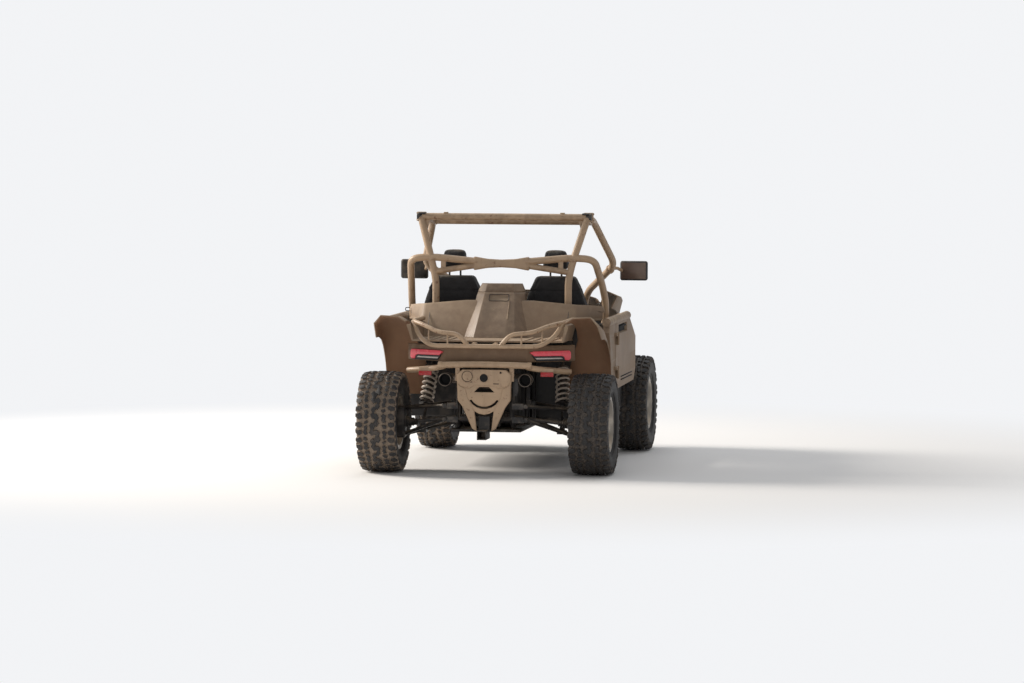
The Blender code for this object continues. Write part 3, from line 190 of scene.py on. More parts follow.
# Dust lies on top, in corners and in patches; edges are rubbed
finishKeys = ("colour", "worn", "wear", "dust", "rough", "metal", "grain", "depth", "streak", "rust")
finishes = {
    "tanPaint": ((176, 149, 121), (116, 90, 68), 0.55, 0.35, 0.46, 0.0, 260, 0.00012, 0.3, 0.75),
    # the panels' tan is set darker than the tubes', partly as painted shade on the rear-facing panels
    "tanPanel": ((140, 117, 95), (178, 155, 128), 0.5, 0.35, 0.6, 0.0, 620, 0.00022, 0.08, 0.0),
    # the fascia's brown is partly its own browner tone, partly painted shade on its rear face
    "bandBrown": ((112, 88, 66), (150, 124, 98), 0.4, 0.22, 0.62, 0.0, 520, 0.0002, 0.1, 0.0),
    # the fenders' underside: tan plastic painted darker and browner as shade, warmed as by light bounced off
    # sand
    "linerPaintedShade": ((142, 105, 78), (160, 126, 98), 0.3, 0.16, 0.75, 0.0, 420, 0.0003, 0.15, 0.0),
    # the hump's finish is a darker copy of the tan panel: painted shade on the hump's rear face
    "humpPaintedShade": ((122, 102, 84), (176, 154, 128), 0.5, 0.24, 0.55, 0.0, 620, 0.0002, 0.2, 0.0),
    "blackSteel": ((33, 31, 31), (86, 80, 75), 0.5, 0.3, 0.42, 0.35, 300, 0.0001, 0.2, 0.25),
    "blackPlastic": ((34, 32, 33), (74, 70, 67), 0.4, 0.2, 0.5, 0.0, 700, 0.0002, 0.2, 0.0),
    # near-black: soot and painted shade of depth inside the exhaust bells, painted shade in the guard's
    # holes, slots and groove, and the lining of the door pull's recess
    "blackSootAndShade": ((16, 15, 15), (34, 31, 30), 0.3, 0.0, 0.9, 0.0, 500, 0.0002, 0.2, 0.0),
    "alloyRim": ((168, 160, 150), (205, 200, 192), 0.5, 0.55, 0.32, 0.85, 240, 0.00008, 0.3, 0.0),
    "springSteel": ((198, 184, 170), (120, 104, 92), 0.35, 0.25, 0.4, 0.1, 300, 0.0001, 0.25, 0.3),
    "engineMetal": ((62, 60, 58), (110, 106, 100), 0.5, 0.3, 0.5, 0.7, 180, 0.0003, 0.3, 0.0),
    "exhaustSteel": ((112, 101, 92), (186, 176, 166), 0.7, 0.3, 0.32, 0.8, 200, 0.0001, 0.5, 0.3),
}
dustTone = tone(186, 166, 140)
rustTone = tone(98, 58, 38)


def weathered(name):
    s = dict(zip(finishKeys, finishes[name]))
    paint, worn = tone(*s["colour"]), tone(*s["worn"])
    f = Finish(name)
    patches = f.noise(3.1, 4)
    clouds = f.noise(17, 5)
    fine = f.noise(s["grain"], 2)
    runs = f.noise(9, 4, where=f.stretched((1.8, 1.8, 0.4)))
    colour = f.mix(f.band(patches, 0.3, 0.7), paint, [part * 0.82 for part in paint[:3]] + [1.0])
    colour = f.mix(f.band(runs, 0.5, 0.75) * s["streak"], colour, worn)
    rub = f.band(f.edges(), 0.52, 0.62) * f.band(clouds, 0.42, 0.62) * s["wear"]
    colour = f.mix(rub, colour, worn)
    if s["rust"]:
        spots = f.noise(31, 6, 0.68)
        colour = f.mix(f.band(spots + patches * 0.3, 0.74, 0.82) * s["rust"], colour, rustTone)
    settled = f.band(clouds * 0.55 + patches * 0.35 + f.upward() * 0.22, 0.42, 0.78)
    packed = 1.0 - f.band(f.edges(), 0.40, 0.50)
    dust = f.node(
        "ShaderNodeMath", {"operation": "MAXIMUM"}, {0: settled * s["dust"], 1: packed * s["dust"] * 1.1}
    )
    colour = f.mix(dust, colour, dustTone)
    rough = s["rough"] + dust * 0.3 + (clouds - 0.5) * 0.16
    f.shade(
        Base_Color=colour,
        Roughness=rough,
        Metallic=s["metal"] * (1.0 - dust),
        Normal=f.bump(fine + clouds * 0.6, s["depth"]),
    )
    return f.material


def tyreRubber(end, station, half):
    # dark blocks over sandy grooves; the tyres on the left are given more sand colour than those on the
    # right
    f = Finish(end + "TyreRubber")
    caked = f.noise(9, 5)
    fine = f.noise(120, 4)
    grit = f.noise(900, 2)
    x, y, z = (f.node("ShaderNodeSeparateXYZ", inputs={0: f.place}, output=axis) for axis in range(3))
    ahead = y - (station + layout["rearAxleY"])
    up = z - layout["tyreRadius"]
    radius = (ahead * ahead + up * up) ** 0.5
    across = (f.node("ShaderNodeMath", {"operation": "ABSOLUTE"}, {0: x}) - layout["wheelX"]) / half
    square = across * across
    height = radius + square * square * tyre["crown"] - tyre["treadRadius"]
    tread = f.band(radius, 0.300, 0.326)
    groove = 1.0 - f.band(height + (caked - 0.5) * 0.006, 0.006, 0.0125)
    leftness = 1.0 - f.band(x, -0.1, 0.1)
    sandy = groove * tread * (0.22 + leftness * 0.62 + (fine - 0.5) * 1.1)
    film = f.band(caked * 0.7 + fine * 0.3, 0.5, 0.75) * (0.16 + leftness * 0.26)
    sand = f.node("ShaderNodeMath", {"operation": "MAXIMUM", "use_clamp": True}, {0: sandy, 1: film})
    black = f.mix(f.band(fine, 0.3, 0.7), tone(30, 29, 30), tone(48, 46, 46))
    f.shade(
        Base_Color=f.mix(sand, black, f.mix(grit, tone(112, 98, 86), tone(158, 142, 126))),
        Roughness=0.66 + sand * 0.3,
        Normal=f.bump(fine * 0.6 + grit * 0.4 * (0.4 + sand), 0.0011),
    )
    return f.material


def seatCover():
    f = Finish("seatCover")
    fibres = []
    for axis in range(3):
        across = f.node("ShaderNodeSeparateXYZ", inputs={0: f.place}, output=axis)
        fibres.append(f.node("ShaderNodeMath", {"operation": "SINE"}, {0: across * 3900}))
    weave = fibres[0] * fibres[2] + fibres[1] * fibres[2]
    fold = f.noise(23, 4)
    dust = f.band(f.noise(6, 5) * 0.7 + f.upward() * 0.25, 0.45, 0.8)
    # the cover is darker where the fold bump is low and paler where it is high
    colour = f.mix(f.band(fold, 0.3, 0.7), tone(24, 24, 26), tone(38, 37, 39))
    f.shade(
        Base_Color=f.mix(dust * 0.3, colour, dustTone),
        Roughness=0.74 + dust * 0.18,
        Normal=f.bump(weave * 0.5 + fold * 2.0, 0.0005),
    )
    return f.material


# a ribbed lens; its emission is a faint painted glow, given also to the red reflector, which is no lamp
def lampGlass(name, colour, deep, glow, coat):
    f = Finish(name)
    ribs = f.node("ShaderNodeSeparateXYZ", inputs={0: f.place}, output=0)
    wave = f.node("ShaderNodeMath", {"operation": "SINE"}, {0: ribs * 900})
    dust = f.band(f.noise(14, 5) + f.upward() * 0.2, 0.48, 0.8)
    lit = f.mix(f.band(wave, -0.6, 0.9), deep, colour)
    f.shade(
        Base_Color=f.mix(dust * 0.1, lit, dustTone),
        Roughness=0.2 + dust * 0.4,
        Emission_Color=lit,
        Coat_Weight=coat,
        Coat_Roughness=0.08,
        Emission_Strength=glow,
        Normal=f.bump(wave, 0.0004, 0.5),
    )
    return f.material


def mirrorGlass():
    # dusty glass with a painted reflection: the ground behind on the right and the dark cabin on the left
    f = Finish("mirrorGlass")
    side = f.node("ShaderNodeSeparateXYZ", inputs={0: f.place}, output=0)
    dust = f.band(f.noise(7, 4), 0.35, 0.75)
    seen = f.mix(f.band(side, -0.1, 0.1), tone(26, 25, 26), tone(98, 80, 70))
    f.shade(
        Base_Color=f.mix(dust * 0.22, seen, dustTone),
        Roughness=0.3 + dust * 0.3,
        Metallic=0.3,
    )
    return f.material


# Tyre sizes, which the rubber's finish reads too
tyre = {
    "steps": 96,
    "pitches": 19,
    "drawnPitch": 0.093,
    "drawnHalf": 0.1425,
    "lugFoot": 0.004,
    "lugTaper": 0.0025,
    "lugReach": 0.985,
    "waves": ((0.0050, 7, 34), (0.014, 11, 61)),
    # blocks on the shoulder, as low and high radius, arc and width
    "shoulder": ((0.296, 0.326, -0.018, 0.026), (0.304, 0.330, 0.024, 0.020)),
    # beads on the sidewall, as share of the half width and radius
    "beads": ((0.90, 0.2215), (0.955, 0.262)),
    "treadRadius": 0.3385,
    "lugRadius": 0.3548,
    "crown": 0.0130,
    "widths": {"rear": 0.285, "front": 0.255},
    # lug outlines as across, arc, in one pitch of the right half of a rear tyre
    "lugs": (
        (
            (-0.010, -0.036), (0.018, -0.040), (0.036, -0.020), (0.024, -0.002), (0.036, 0.018),
            (0.018, 0.036), (-0.010, 0.022), (0.006, -0.006),
        ),
        (
            (0.046, -0.030), (0.066, -0.040), (0.083, -0.024), (0.072, -0.002), (0.080, 0.010),
            (0.060, 0.018), (0.047, 0.002), (0.056, -0.014),
        ),
        ((0.046, 0.030), (0.062, 0.025), (0.081, 0.028), (0.076, 0.043), (0.056, 0.047)),
        (
            (0.091, -0.034), (0.118, -0.042), (0.139, -0.026), (0.139, -0.008), (0.108, -0.005),
            (0.091, -0.016),
        ),
        ((0.089, 0.014), (0.104, 0.006), (0.139, 0.012), (0.139, 0.034), (0.112, 0.041), (0.092, 0.030)),
    ),
}
looks = {name: weathered(name) for name in finishes}
looks["seatCover"] = seatCover()
looks["redLens"] = lampGlass("redLens", tone(235, 84, 98), tone(196, 44, 62), 0.10, 0.5)
looks["clearLens"] = lampGlass("clearLens", tone(206, 200, 194), tone(150, 144, 138), 0.05, 0.6)
looks["reflectorRed"] = lampGlass("reflectorRed", tone(186, 14, 22), tone(130, 6, 12), 0.02, 0.1)
looks["mirrorGlass"] = mirrorGlass()
for end, station in (("rear", 0.0), ("front", layout["wheelbase"])):
    looks[end + "Tyre"] = tyreRubber(end, station, tyre["widths"][end] / 2)
print("finishes made:", len(looks))

slots = {
    "tanPaint": "tan_paint",
    "tanPanel": "tan_plastic",
    "bandBrown": "tan_plastic",
    "linerPaintedShade": "tan_plastic",
    "humpPaintedShade": "tan_plastic",
    "blackSootAndShade": "exhaust_steel",
    "blackSteel": "frame_steel",
    "blackPlastic": "black_plastic",
    "alloyRim": "alloy",
    "springSteel": "spring_steel",
    "engineMetal": "engine_metal",
    "exhaustSteel": "exhaust_steel",
    "rearTyre": "tyre",
    "frontTyre": "tyre",
    "seatCover": "seat_fabric",
    "redLens": "lamp_red",
    "reflectorRed": "lamp_red",
    "clearLens": "lamp_clear",
    "mirrorGlass": "lamp_clear",
}


# Mesh helpers
def piece(bm, name, body, look, replaced=(), angle=35, second=None):
    mesh = bpy.data.meshes.new(name)
    bmesh.ops.recalc_face_normals(bm, faces=bm.faces)
    bm.to_mesh(mesh)
    bm.free()
    for finish in (look, second):
        if finish:
            mesh.materials.append(looks[finish])
    mesh.shade_smooth()
    mesh.set_sharp_from_angle(angle=math.radians(angle))
    obj = bpy.data.objects.new(name, mesh)
    bpy.context.scene.collection.objects.link(obj)
    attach(obj, body)
    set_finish(obj, slots[look])
    if replaced:
        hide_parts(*replaced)
    return obj


def smoothed(obj, levels):
    modifier = obj.modifiers.new("Smooth", "SUBSURF")
    modifier.levels = modifier.render_levels = levels
    return obj


def walled(obj, thickness, offset=0.0, inner=0):
    modifier = obj.modifiers.new("Wall", "SOLIDIFY")
    modifier.thickness = thickness
    modifier.offset = offset
    modifier.use_even_offset = True
    modifier.material_offset = inner
    return obj


def bevelEdges(bm, edges, width, segments=2):
    bmesh.ops.bevel(
        bm,
        geom=edges,
        offset=width,
        offset_type="OFFSET",
        segments=segments,
        profile=0.5,
        affect="EDGES",
        clamp_overlap=True,
        material=-1,
    )


def block(bm, low, high, bevel=0.0, segments=2, matrix=None):
    # a box between two corners, given in matrix's own space or ahead of the rear axle
    made = bmesh.ops.create_cube(bm, size=1.0)["verts"]
    low, high = Vector(low), Vector(high)
    bmesh.ops.scale(bm, vec=high - low, verts=made)
    bmesh.ops.translate(bm, vec=(high + low) / 2, verts=made)
    bmesh.ops.transform(bm, matrix=matrix or Matrix.Translation(at(0, 0, 0)), verts=made)
    if bevel:
        bevelEdges(bm, list({edge for vert in made for edge in vert.link_edges}), bevel, segments)


def sided(bm, side, low, high, bevel):
    # a block given for the right side, placed on the side asked for
    near, far = sorted((side * low[0], side * high[0]))
    block(bm, (near, *low[1:]), (far, *high[1:]), bevel)


def polar(radius, turn, along=0.0):
    return Vector((radius * math.cos(turn), radius * math.sin(turn), along))


def turnTo(along):
    return along.to_track_quat("Z", "Y").to_matrix().to_4x4()


def rod(bm, start, end, radius, sides=24, endRadius=None, bevel=0.0):
    along = end - start
    made = bmesh.ops.create_cone(
        bm,
        cap_ends=True,
        segments=sides,
        radius1=radius,
        radius2=radius if endRadius is None else endRadius,
        depth=along.length,
        matrix=Matrix.Translation((start + end) / 2) @ turnTo(along),
    )["verts"]
    if bevel:
        faces = {face for vert in made for face in vert.link_faces}
        rims = {edge for face in faces if len(face.verts) > 4 for edge in face.edges}
        bevelEdges(bm, list(rims), bevel, 2)


def bent(points, bend, steps=6):
    path = [points[0]]
    for before, corner, after in zip(points, points[1:], points[2:]):
        reach = min(bend, (corner - before).length / 2.2, (after - corner).length / 2.2)
        enter = corner + (before - corner).normalized() * reach
        leave = corner + (after - corner).normalized() * reach
        for step in range(steps + 1):
            t = step / steps
            path.append((1 - t) ** 2 * enter + 2 * t * (1 - t) * corner + t * t * leave)
    path.append(points[-1])
    return path


def bar(bm, points, radius, sides=20, loop=False):
    # a circle extruded along a path and turned with it
    count = len(points)
    tangents = []
    for i, point in enumerate(points):
        before = points[i - 1] if i or loop else point
        after = points[(i + 1) % count] if i < count - 1 or loop else point
        tangents.append((after - before).normalized())
    matrix = Matrix.Translation(points[0]) @ turnTo(tangents[0])
    ring = bmesh.ops.create_circle(bm, segments=sides, radius=radius, matrix=matrix)["verts"]
    first = edges = list({edge for vert in ring for edge in vert.link_edges})
    for i in range(1, count):
        grown = bmesh.ops.extrude_edge_only(bm, edges=edges)["geom"]
        verts = [part for part in grown if isinstance(part, bmesh.types.BMVert)]
        edges = [part for part in grown if isinstance(part, bmesh.types.BMEdge) and part.is_boundary]
        turn = tangents[i - 1].rotation_difference(tangents[i]).to_matrix()
        bmesh.ops.rotate(bm, cent=points[i - 1], matrix=turn, verts=verts)
        bmesh.ops.translate(bm, vec=points[i] - points[i - 1], verts=verts)
    if loop:
        bmesh.ops.bridge_loops(bm, edges=first + edges)
    else:
        bmesh.ops.holes_fill(bm, edges=first, sides=0)
        bmesh.ops.holes_fill(bm, edges=edges, sides=0)


def hoop(bm, centre, along, radius, wire, count=28, sides=8):
    # a ring of wire square to a direction, such as a weld or an edge bead
    matrix = Matrix.Translation(centre) @ turnTo(along)
    ring = [matrix @ polar(radius, math.tau * i / count) for i in range(count)]
    bar(bm, ring, wire, sides, True)


def bolt(bm, centre, out, size):
    out = out.normalized()
    rod(bm, centre, centre + out * size * 0.25, size * 1.35, 20, bevel=size * 0.1)
    rod(bm, centre, centre + out * size * 0.9, size, 6, bevel=size * 0.12)


def turned(bm, profile, centre, steps, along=(1, 0, 0)):
    # a closed outline of (along, radius) spun about an axis through the centre
    along = Vector(along)
    out = along.orthogonal().normalized()
    verts = [bm.verts.new(centre + along * far + out * radius) for far, radius in profile]
    edges = [bm.edges.new((a, b)) for a, b in zip(verts, verts[1:] + verts[:1])]
    bmesh.ops.spin(
        bm, geom=verts + edges, cent=centre, axis=along, angle=math.tau, steps=steps, use_merge=True
    )
    bmesh.ops.remove_doubles(bm, verts=bm.verts, dist=1e-6)


def panel(bm, rows):
    # a grid whose points take the places in the table
    down, across = len(rows) - 1, len(rows[0]) - 1
    made = bmesh.ops.create_grid(bm, x_segments=across, y_segments=down, size=1.0)["verts"]
    for vert in made:
        i = round((vert.co.y + 1) / 2 * down)
        j = round((vert.co.x + 1) / 2 * across)
        vert.co = rows[i][j]


def folds(bm, width, segments=3, least=6):
    edges = [edge for edge in bm.edges if math.degrees(edge.calc_face_angle(0)) > least]
    bevelEdges(bm, edges, width, segments)


def outward(bm, direction):
    # turns an open sheet so that it faces the direction given
    bmesh.ops.recalc_face_normals(bm, faces=bm.faces)
    if sum(face.normal.dot(Vector(direction)) * face.calc_area() for face in bm.faces) < 0:
        bmesh.ops.reverse_faces(bm, faces=bm.faces)


def raised(bm, points, shift, bevel=0.0, segments=2, material=0):
    # a flat outline pushed along shift into a closed slab
    face = bm.faces.new([bm.verts.new(point) for point in points])
    grown = bmesh.ops.extrude_face_region(bm, geom=[face])["geom"]
    verts = [part for part in grown if isinstance(part, bmesh.types.BMVert)]
    bmesh.ops.translate(bm, vec=shift, verts=verts)
    faces = {face, *[made for vert in verts for made in vert.link_faces]}
    for made in faces:
        made.material_index = material
    if bevel:
        bevelEdges(bm, list({edge for made in faces for edge in made.edges}), bevel, segments)


def sheet(outline, low, high, plane, bm, bevel=0.0, segments=2):
    # a flat outline given thickness along the axis that the plane's name leaves out
    place = {
        "YZ": lambda u, v, w: at(w, u, v),
        "XZ": lambda u, v, w: at(u, w, v),
    }[plane]
    points = [place(u, v, low) for u, v in outline]
    raised(bm, points, place(0, 0, high) - place(0, 0, low), bevel, segments)


def cutAt(bm, point, normal):
    geom = bm.verts[:] + bm.edges[:] + bm.faces[:]
    bmesh.ops.bisect_plane(bm, geom=geom, plane_co=point, plane_no=normal, dist=1e-6)


def pressed(bm, picked, rim, depth):
    # faces chosen by picked(centre, normal) go in by depth, inside a rim
    faces = [face for face in bm.faces if picked(face.calc_center_median(), face.normal)]
    if not faces:
        return
    normal = sum((face.normal for face in faces), Vector()).normalized()
    bmesh.ops.inset_region(bm, faces=faces, thickness=rim, depth=0.0, use_even_offset=True)
    verts = list({vert for face in faces for vert in face.verts})
    bmesh.ops.translate(bm, vec=normal * -depth, verts=verts)


def edged(obj, width, segments=2, angle=50):
    modifier = obj.modifiers.new("Edge", "BEVEL")
    modifier.width = width
    modifier.segments = segments
    modifier.limit_method = "ANGLE"
    modifier.angle_limit = math.radians(angle)
    modifier.use_clamp_overlap = True
    return obj


modifierKeys = {
    "SOLIDIFY": ("thickness", "offset", "use_even_offset", "material_offset"),
    "BEVEL": ("width", "segments", "limit_method", "angle_limit", "use_clamp_overlap"),
}


def bothSides(obj, stem, body, replaced=()):
    # makes the left piece from the right one; bodies and nodes carry the same ending
    body = body.replace("right", "left")
    replaced = [node.replace("right", "left") for node in replaced]
    mesh = obj.data.copy()
    bm = bmesh.new()
    bm.from_mesh(mesh)
    bmesh.ops.scale(bm, vec=(-1, 1, 1), verts=bm.verts)
    bmesh.ops.reverse_faces(bm, faces=bm.faces)
    bm.to_mesh(mesh)
    bm.free()
    other = bpy.data.objects.new(stem + "_left", mesh)
    bpy.context.scene.collection.objects.link(other)
    for modifier in obj.modifiers:
        copy = other.modifiers.new(modifier.name, modifier.type)
        for key in modifierKeys[modifier.type]:
            setattr(copy, key, getattr(modifier, key))
    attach(other, body)
    if "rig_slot" in obj:
        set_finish(other, obj["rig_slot"])
    if replaced:
        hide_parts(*replaced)
    return other


def pair(bm, stem, body, look, replaced=(), angle=35, second=None):
    right = piece(bm, stem + "_right", body, look, replaced, angle, second)
    bothSides(right, stem, body, replaced)


def solidOf(name):
    # a copy of a frame solid's mesh, merged, with its flat faces whole again
    bm = bmesh.new()
    bm.from_mesh(nodes[name].data)
    bmesh.ops.remove_doubles(bm, verts=bm.verts, dist=1e-5)
    bmesh.ops.dissolve_limit(bm, angle_limit=math.radians(1.0), verts=bm.verts, edges=bm.edges)
    return bm


def refined(name, look, bevel, least=25):
    # the frame's own solid with rounded edges
    source = nodes[name]
    bm = solidOf(name)
    if bevel:
        folds(bm, bevel, 2, least)
    piece(bm, name + "_skin", body_of(source)[0], look, [name])


# A solid that has no detailed piece of its own gets rounded edges and its finish
plainPieces = {
    "frame": ("blackSteel", 0.0),
    "hitch_receiver": ("blackSteel", 0.0025),
    "cab_tub": ("blackPlastic", 0.006),
    "rear_fascia": ("bandBrown", 0.006),
    "engine": ("engineMetal", 0.006),
    "track_rod": ("blackSteel", 0.0),
    "rear_arms": ("blackSteel", 0.0),
    "front_arms": ("blackSteel", 0.0),
    "front_knuckle": ("blackSteel", 0.002),
}


def refineTheRest():
    for name in sorted(nodes):
        if nodes[name].hide_render:
            continue
        stem = name.removesuffix("_left").removesuffix("_right")
        look, bevel = plainPieces[stem]
        refined(name, look, bevel)


# Cage of bent tube: the hoop behind the seats, then the bolted front section
cage = {
    "radius": 0.0255,
    "bend": 0.07,
    "upright": ((0.603, 0.68, 1.780), (0.505, 0.59, 1.455), (0.476, 0.59, 1.33), (0.476, 0.59, 0.9023)),
    "shoulder": (
        (0.17, 0.57, 1.460), (0.50, 0.60, 1.490), (0.661, 0.60, 1.480), (0.691, 0.80, 1.29),
        (0.705, 0.90, 1.15), (0.672, 0.90, 0.70), (0.672, 0.90, 0.5403),
    ),
    "brace": ((0.17, 0.57, 1.435), (0.49, 0.59, 1.385)),
    "braceRadius": 0.021,
    "weld": (0.0265, 0.004),
    "foot": (0.033, 0.013),
    # flat plates as outline in x and z, then their two stations
    "plates": (
        (((0.600, 1.745), (0.470, 1.765), (0.470, 1.785), (0.600, 1.785)), 0.674, 0.686),
        (((0.600, 1.775), (0.530, 1.770), (0.560, 1.660), (0.578, 1.668)), 0.672, 0.684),
        (((0.405, 1.475), (0.440, 1.478), (0.440, 1.392), (0.405, 1.396)), 0.578, 0.590),
    ),
    "roof": ((-0.603, 0.68, 1.775), (0.603, 0.68, 1.775)),
    "frontRail": (
        (0.603, 0.7175, 1.772), (0.585, 1.09, 1.735), (0.70, 1.40, 1.415),
        (0.46, 1.75, 1.21), (0.42, 1.83, 1.12), (0.42, 1.83, 1.0203),
    ),
    "header": ((-0.585, 1.09, 1.735), (0.585, 1.09, 1.735)),
    "web": (
        (0.0, 1.475), (0.10, 1.480), (0.20, 1.497), (0.20, 1.397), (0.10, 1.415), (0.0, 1.420),
    ),
}


def makeCage():
    bm = bmesh.new()
    for side in layout["sides"]:
        for name in ("upright", "shoulder", "brace"):
            radius = cage["braceRadius"] if name == "brace" else cage["radius"]
            bar(bm, bent(pathAt(cage[name], side), cage["bend"]), radius)
        for outline, near, far in cage["plates"]:
            sheet([(side * x, z) for x, z in outline], near, far, "XZ", bm, 0.002)
        block(bm, (side * 0.42 - 0.016, 0.668, 1.796), (side * 0.42 + 0.016, 0.692, 1.808), 0.003)
        for row, height in (("upright", 0.905), ("shoulder", 0.545)):
            x, y, _ = cage[row][-1]
            radius, thick = cage["foot"]
            low = at(side * x, y, height - 0.003)
            rod(bm, low, low + Vector((0, 0, thick)), radius, 28, bevel=0.002)
        for place, out in (((0.505, 0.59, 1.47), (0.3, 0.05, 1)), ((0.603, 0.68, 1.752), (0.2, 0.2, 1))):
            hoop(bm, at(side * place[0], *place[1:]), Vector((side * out[0], *out[1:])), *cage["weld"])
    web = [*cage["web"], *[(-x, z) for x, z in reversed(cage["web"]) if x]]
    sheet(web, 0.548, 0.588, "XZ", bm, 0.012, 3)
    bar(bm, pathAt(cage["roof"]), cage["radius"])
    piece(bm, "cage_hoop_tubes", "chassis", "tanPaint", ["cage_hoop"])

    bm = bmesh.new()
    for side in layout["sides"]:
        bar(bm, bent(pathAt(cage["frontRail"], side), 0.08), cage["radius"])
        sided(bm, side, (0.570, 0.7058, 1.742), (0.636, 0.7375, 1.808), 0.006)
        for z in (1.752, 1.798):
            bolt(bm, at(side * 0.636, 0.722, z), Vector((side, 0, 0)), 0.006)
        hoop(bm, at(side * 0.560, 1.09, 1.735), Vector((1, 0, 0)), *cage["weld"])
        x, y, _ = cage["frontRail"][-1]
        rod(bm, at(side * x, y, 1.0205), at(side * x, y, 1.032), 0.033, 28, bevel=0.002)
    bar(bm, pathAt(cage["header"]), cage["radius"])
    piece(bm, "cage_front_tubes", "chassis", "tanPaint", ["cage_front"])

    bm = bmesh.new()
    for side in layout["sides"]:
        rod(bm, at(side * 0.590, 0.68, 1.775), at(side * 0.6285, 0.68, 1.775), 0.0275, 28, bevel=0.004)
        rod(bm, at(side * 0.572, 0.68, 1.796), at(side * 0.600, 0.68, 1.796), 0.012, 20, 0.009, 0.002)
        block(bm, (side * 0.588 - 0.024, 0.645, 1.793), (side * 0.588 + 0.024, 0.700, 1.805), 0.004)
    piece(bm, "cage_caps", "chassis", "blackPlastic")


# Rear deck: rim, slope and side shelves, one moulded sheet
deck = {
    "wall": 0.012,
    "fold": 0.014,
    "rows": (
        # x, rim y, rim z, slope foot y, foot z, rear edge y
        (0.0, 0.50, 1.190, 0.335, 0.935, -0.095),
        (0.24, 0.50, 1.190, 0.335, 0.935, -0.095),
        (0.525, 0.50, 1.165, 0.37, 0.935, -0.055),
        (0.545, 0.51, 1.163, 0.43, 1.045, -0.055),
        (0.553, 0.52, 1.162, 0.44, 1.046, 0.40),
        (0.60, 0.60, 1.157, 0.56, 1.060, 0.50),
        (0.697, 0.81, 1.140, 0.79, 1.050, 0.75),
    ),
    "ribs": (0.27, 0.33, 0.39, 0.45),
    "latch": (
        (-0.700, 0.775, 1.095), (-0.728, 0.765, 1.095), (-0.728, 0.765, 1.118), (-0.700, 0.775, 1.118),
    ),
    "seam": ((0.497, 0.487, 1.150), (0.497, 0.350, 0.950)),
}


def makeDeck():
    bm = bmesh.new()
    rows = []
    table = [(-x, *rest) for x, *rest in reversed(deck["rows"]) if x] + list(deck["rows"])
    for x, rimY, rimZ, footY, footZ, rearY in table:
        rows.append(
            [
                at(x, rimY + 0.035, rimZ - 0.012),
                at(x, rimY, rimZ),
                at(x, rimY - 0.02, rimZ - 0.015),
                at(x, footY, footZ),
                at(x, rearY, footZ),
            ]
        )
    panel(bm, rows)
    folds(bm, deck["fold"])
    outward(bm, (0, 0, 1))
    sheetPiece = piece(bm, "rear_deck_sheet", "chassis", "tanPanel", ["rear_deck"], 50)
    edged(walled(sheetPiece, deck["wall"], 1.0), 0.003)

    bm = bmesh.new()
    for side in layout["sides"]:
        for x in deck["ribs"]:
            block(bm, (side * x - 0.012, -0.04, 0.934), (side * x + 0.012, 0.31, 0.941), 0.003)
        for y in (-0.03, 0.14, 0.30):
            bolt(bm, at(side * 0.50, y, 0.947), Vector((0, 0, 1)), 0.006)
    piece(bm, "rear_deck_ribs", "chassis", "tanPanel")

    bm = bmesh.new()
    bar(bm, bent(pathAt(deck["latch"]), 0.008, 3), 0.003, 10)
    for side in layout["sides"]:
        bar(bm, pathAt(deck["seam"], side), 0.0022, 6)
    piece(bm, "rear_deck_seams", "chassis", "blackPlastic")


# Engine hump: chamfered cover with a cap, a grip recess and a thin ridge
hump = {
    "bevel": 0.014,
    "grip": (0.070, 1.187, 1.232),
    "gripSlope": ((0.4385, 1.1875), (0.4755, 1.2325)),
    "capZ": (1.243, 1.249),
    "capGroove": 0.003,
    "ridge": ((0.078, 0.438, 1.190), (0.078, 0.335, 1.062)),
}


def makeHump():
    bm = solidOf("engine_cover")
    folds(bm, hump["bevel"], 3, 12)
    halfGrip, gripLow, gripHigh = hump["grip"]
    for z in hump["capZ"]:
        cutAt(bm, at(0, 0, z), (0, 0, 1))
    pressed(bm, lambda c, n: hump["capZ"][0] < c.z < hump["capZ"][1] and abs(n.z) < 0.9, 0.0008, 0.0)
    groove = [f for f in bm.faces if hump["capZ"][0] < f.calc_center_median().z < hump["capZ"][1]]
    for vert in {vert for face in groove for vert in face.verts}:
        if hump["capZ"][0] + 0.0004 < vert.co.z < hump["capZ"][1] - 0.0004:
            vert.co -= Vector((vert.normal.x, vert.normal.y, 0)) * hump["capGroove"]
    for z in (gripLow, gripHigh):
        cutAt(bm, at(0, 0, z), (0, 0, 1))
    for x in (-halfGrip, halfGrip):
        cutAt(bm, at(x, 0, 0), (1, 0, 0))
    pressed(
        bm, lambda c, n: abs(c.x) < halfGrip and gripLow < c.z < gripHigh and n.y < -0.5, 0.006, 0.012
    )
    # the shell takes the darker tan, painted shade on the hump's rear face
    piece(bm, "engine_cover_shell", "chassis", "humpPaintedShade", ["engine_cover"], 40)

    # the grip's dark lip follows the slope of the hump's rear face
    bm = bmesh.new()
    (lowY, lowZ), (highY, highZ) = hump["gripSlope"]
    lower = [at(x, lowY, lowZ) for x in (-halfGrip, halfGrip)]
    upper = [at(x, highY, highZ) for x in (halfGrip, -halfGrip)]
    middle = (lower[0] + lower[1]) / 2
    loop = bent([middle, lower[1], *upper, lower[0], middle], 0.012, 4)
    bar(bm, loop[:-1], 0.0022, 8, True)
    piece(bm, "engine_cover_grip", "chassis", "blackPlastic")

    bm = bmesh.new()
    bar(bm, pathAt(hump["ridge"]), 0.0035, 10)
    for side in (-1, 1):
        bolt(bm, at(side * 0.118, 0.30, 1.010), Vector((side * 0.25, -0.8, 0.5)), 0.005)
    piece(bm, "engine_cover_ridge", "chassis", "tanPanel")


# Tail lamps: a red lens with a clear strip, over a dark case
tail = {
    "inner": (0.29, -0.10),
    "outer": (0.59, 0.115),
    "low": 0.792,
    "high": 0.862,
    "from": 0.015,
    "to": 0.335,
}


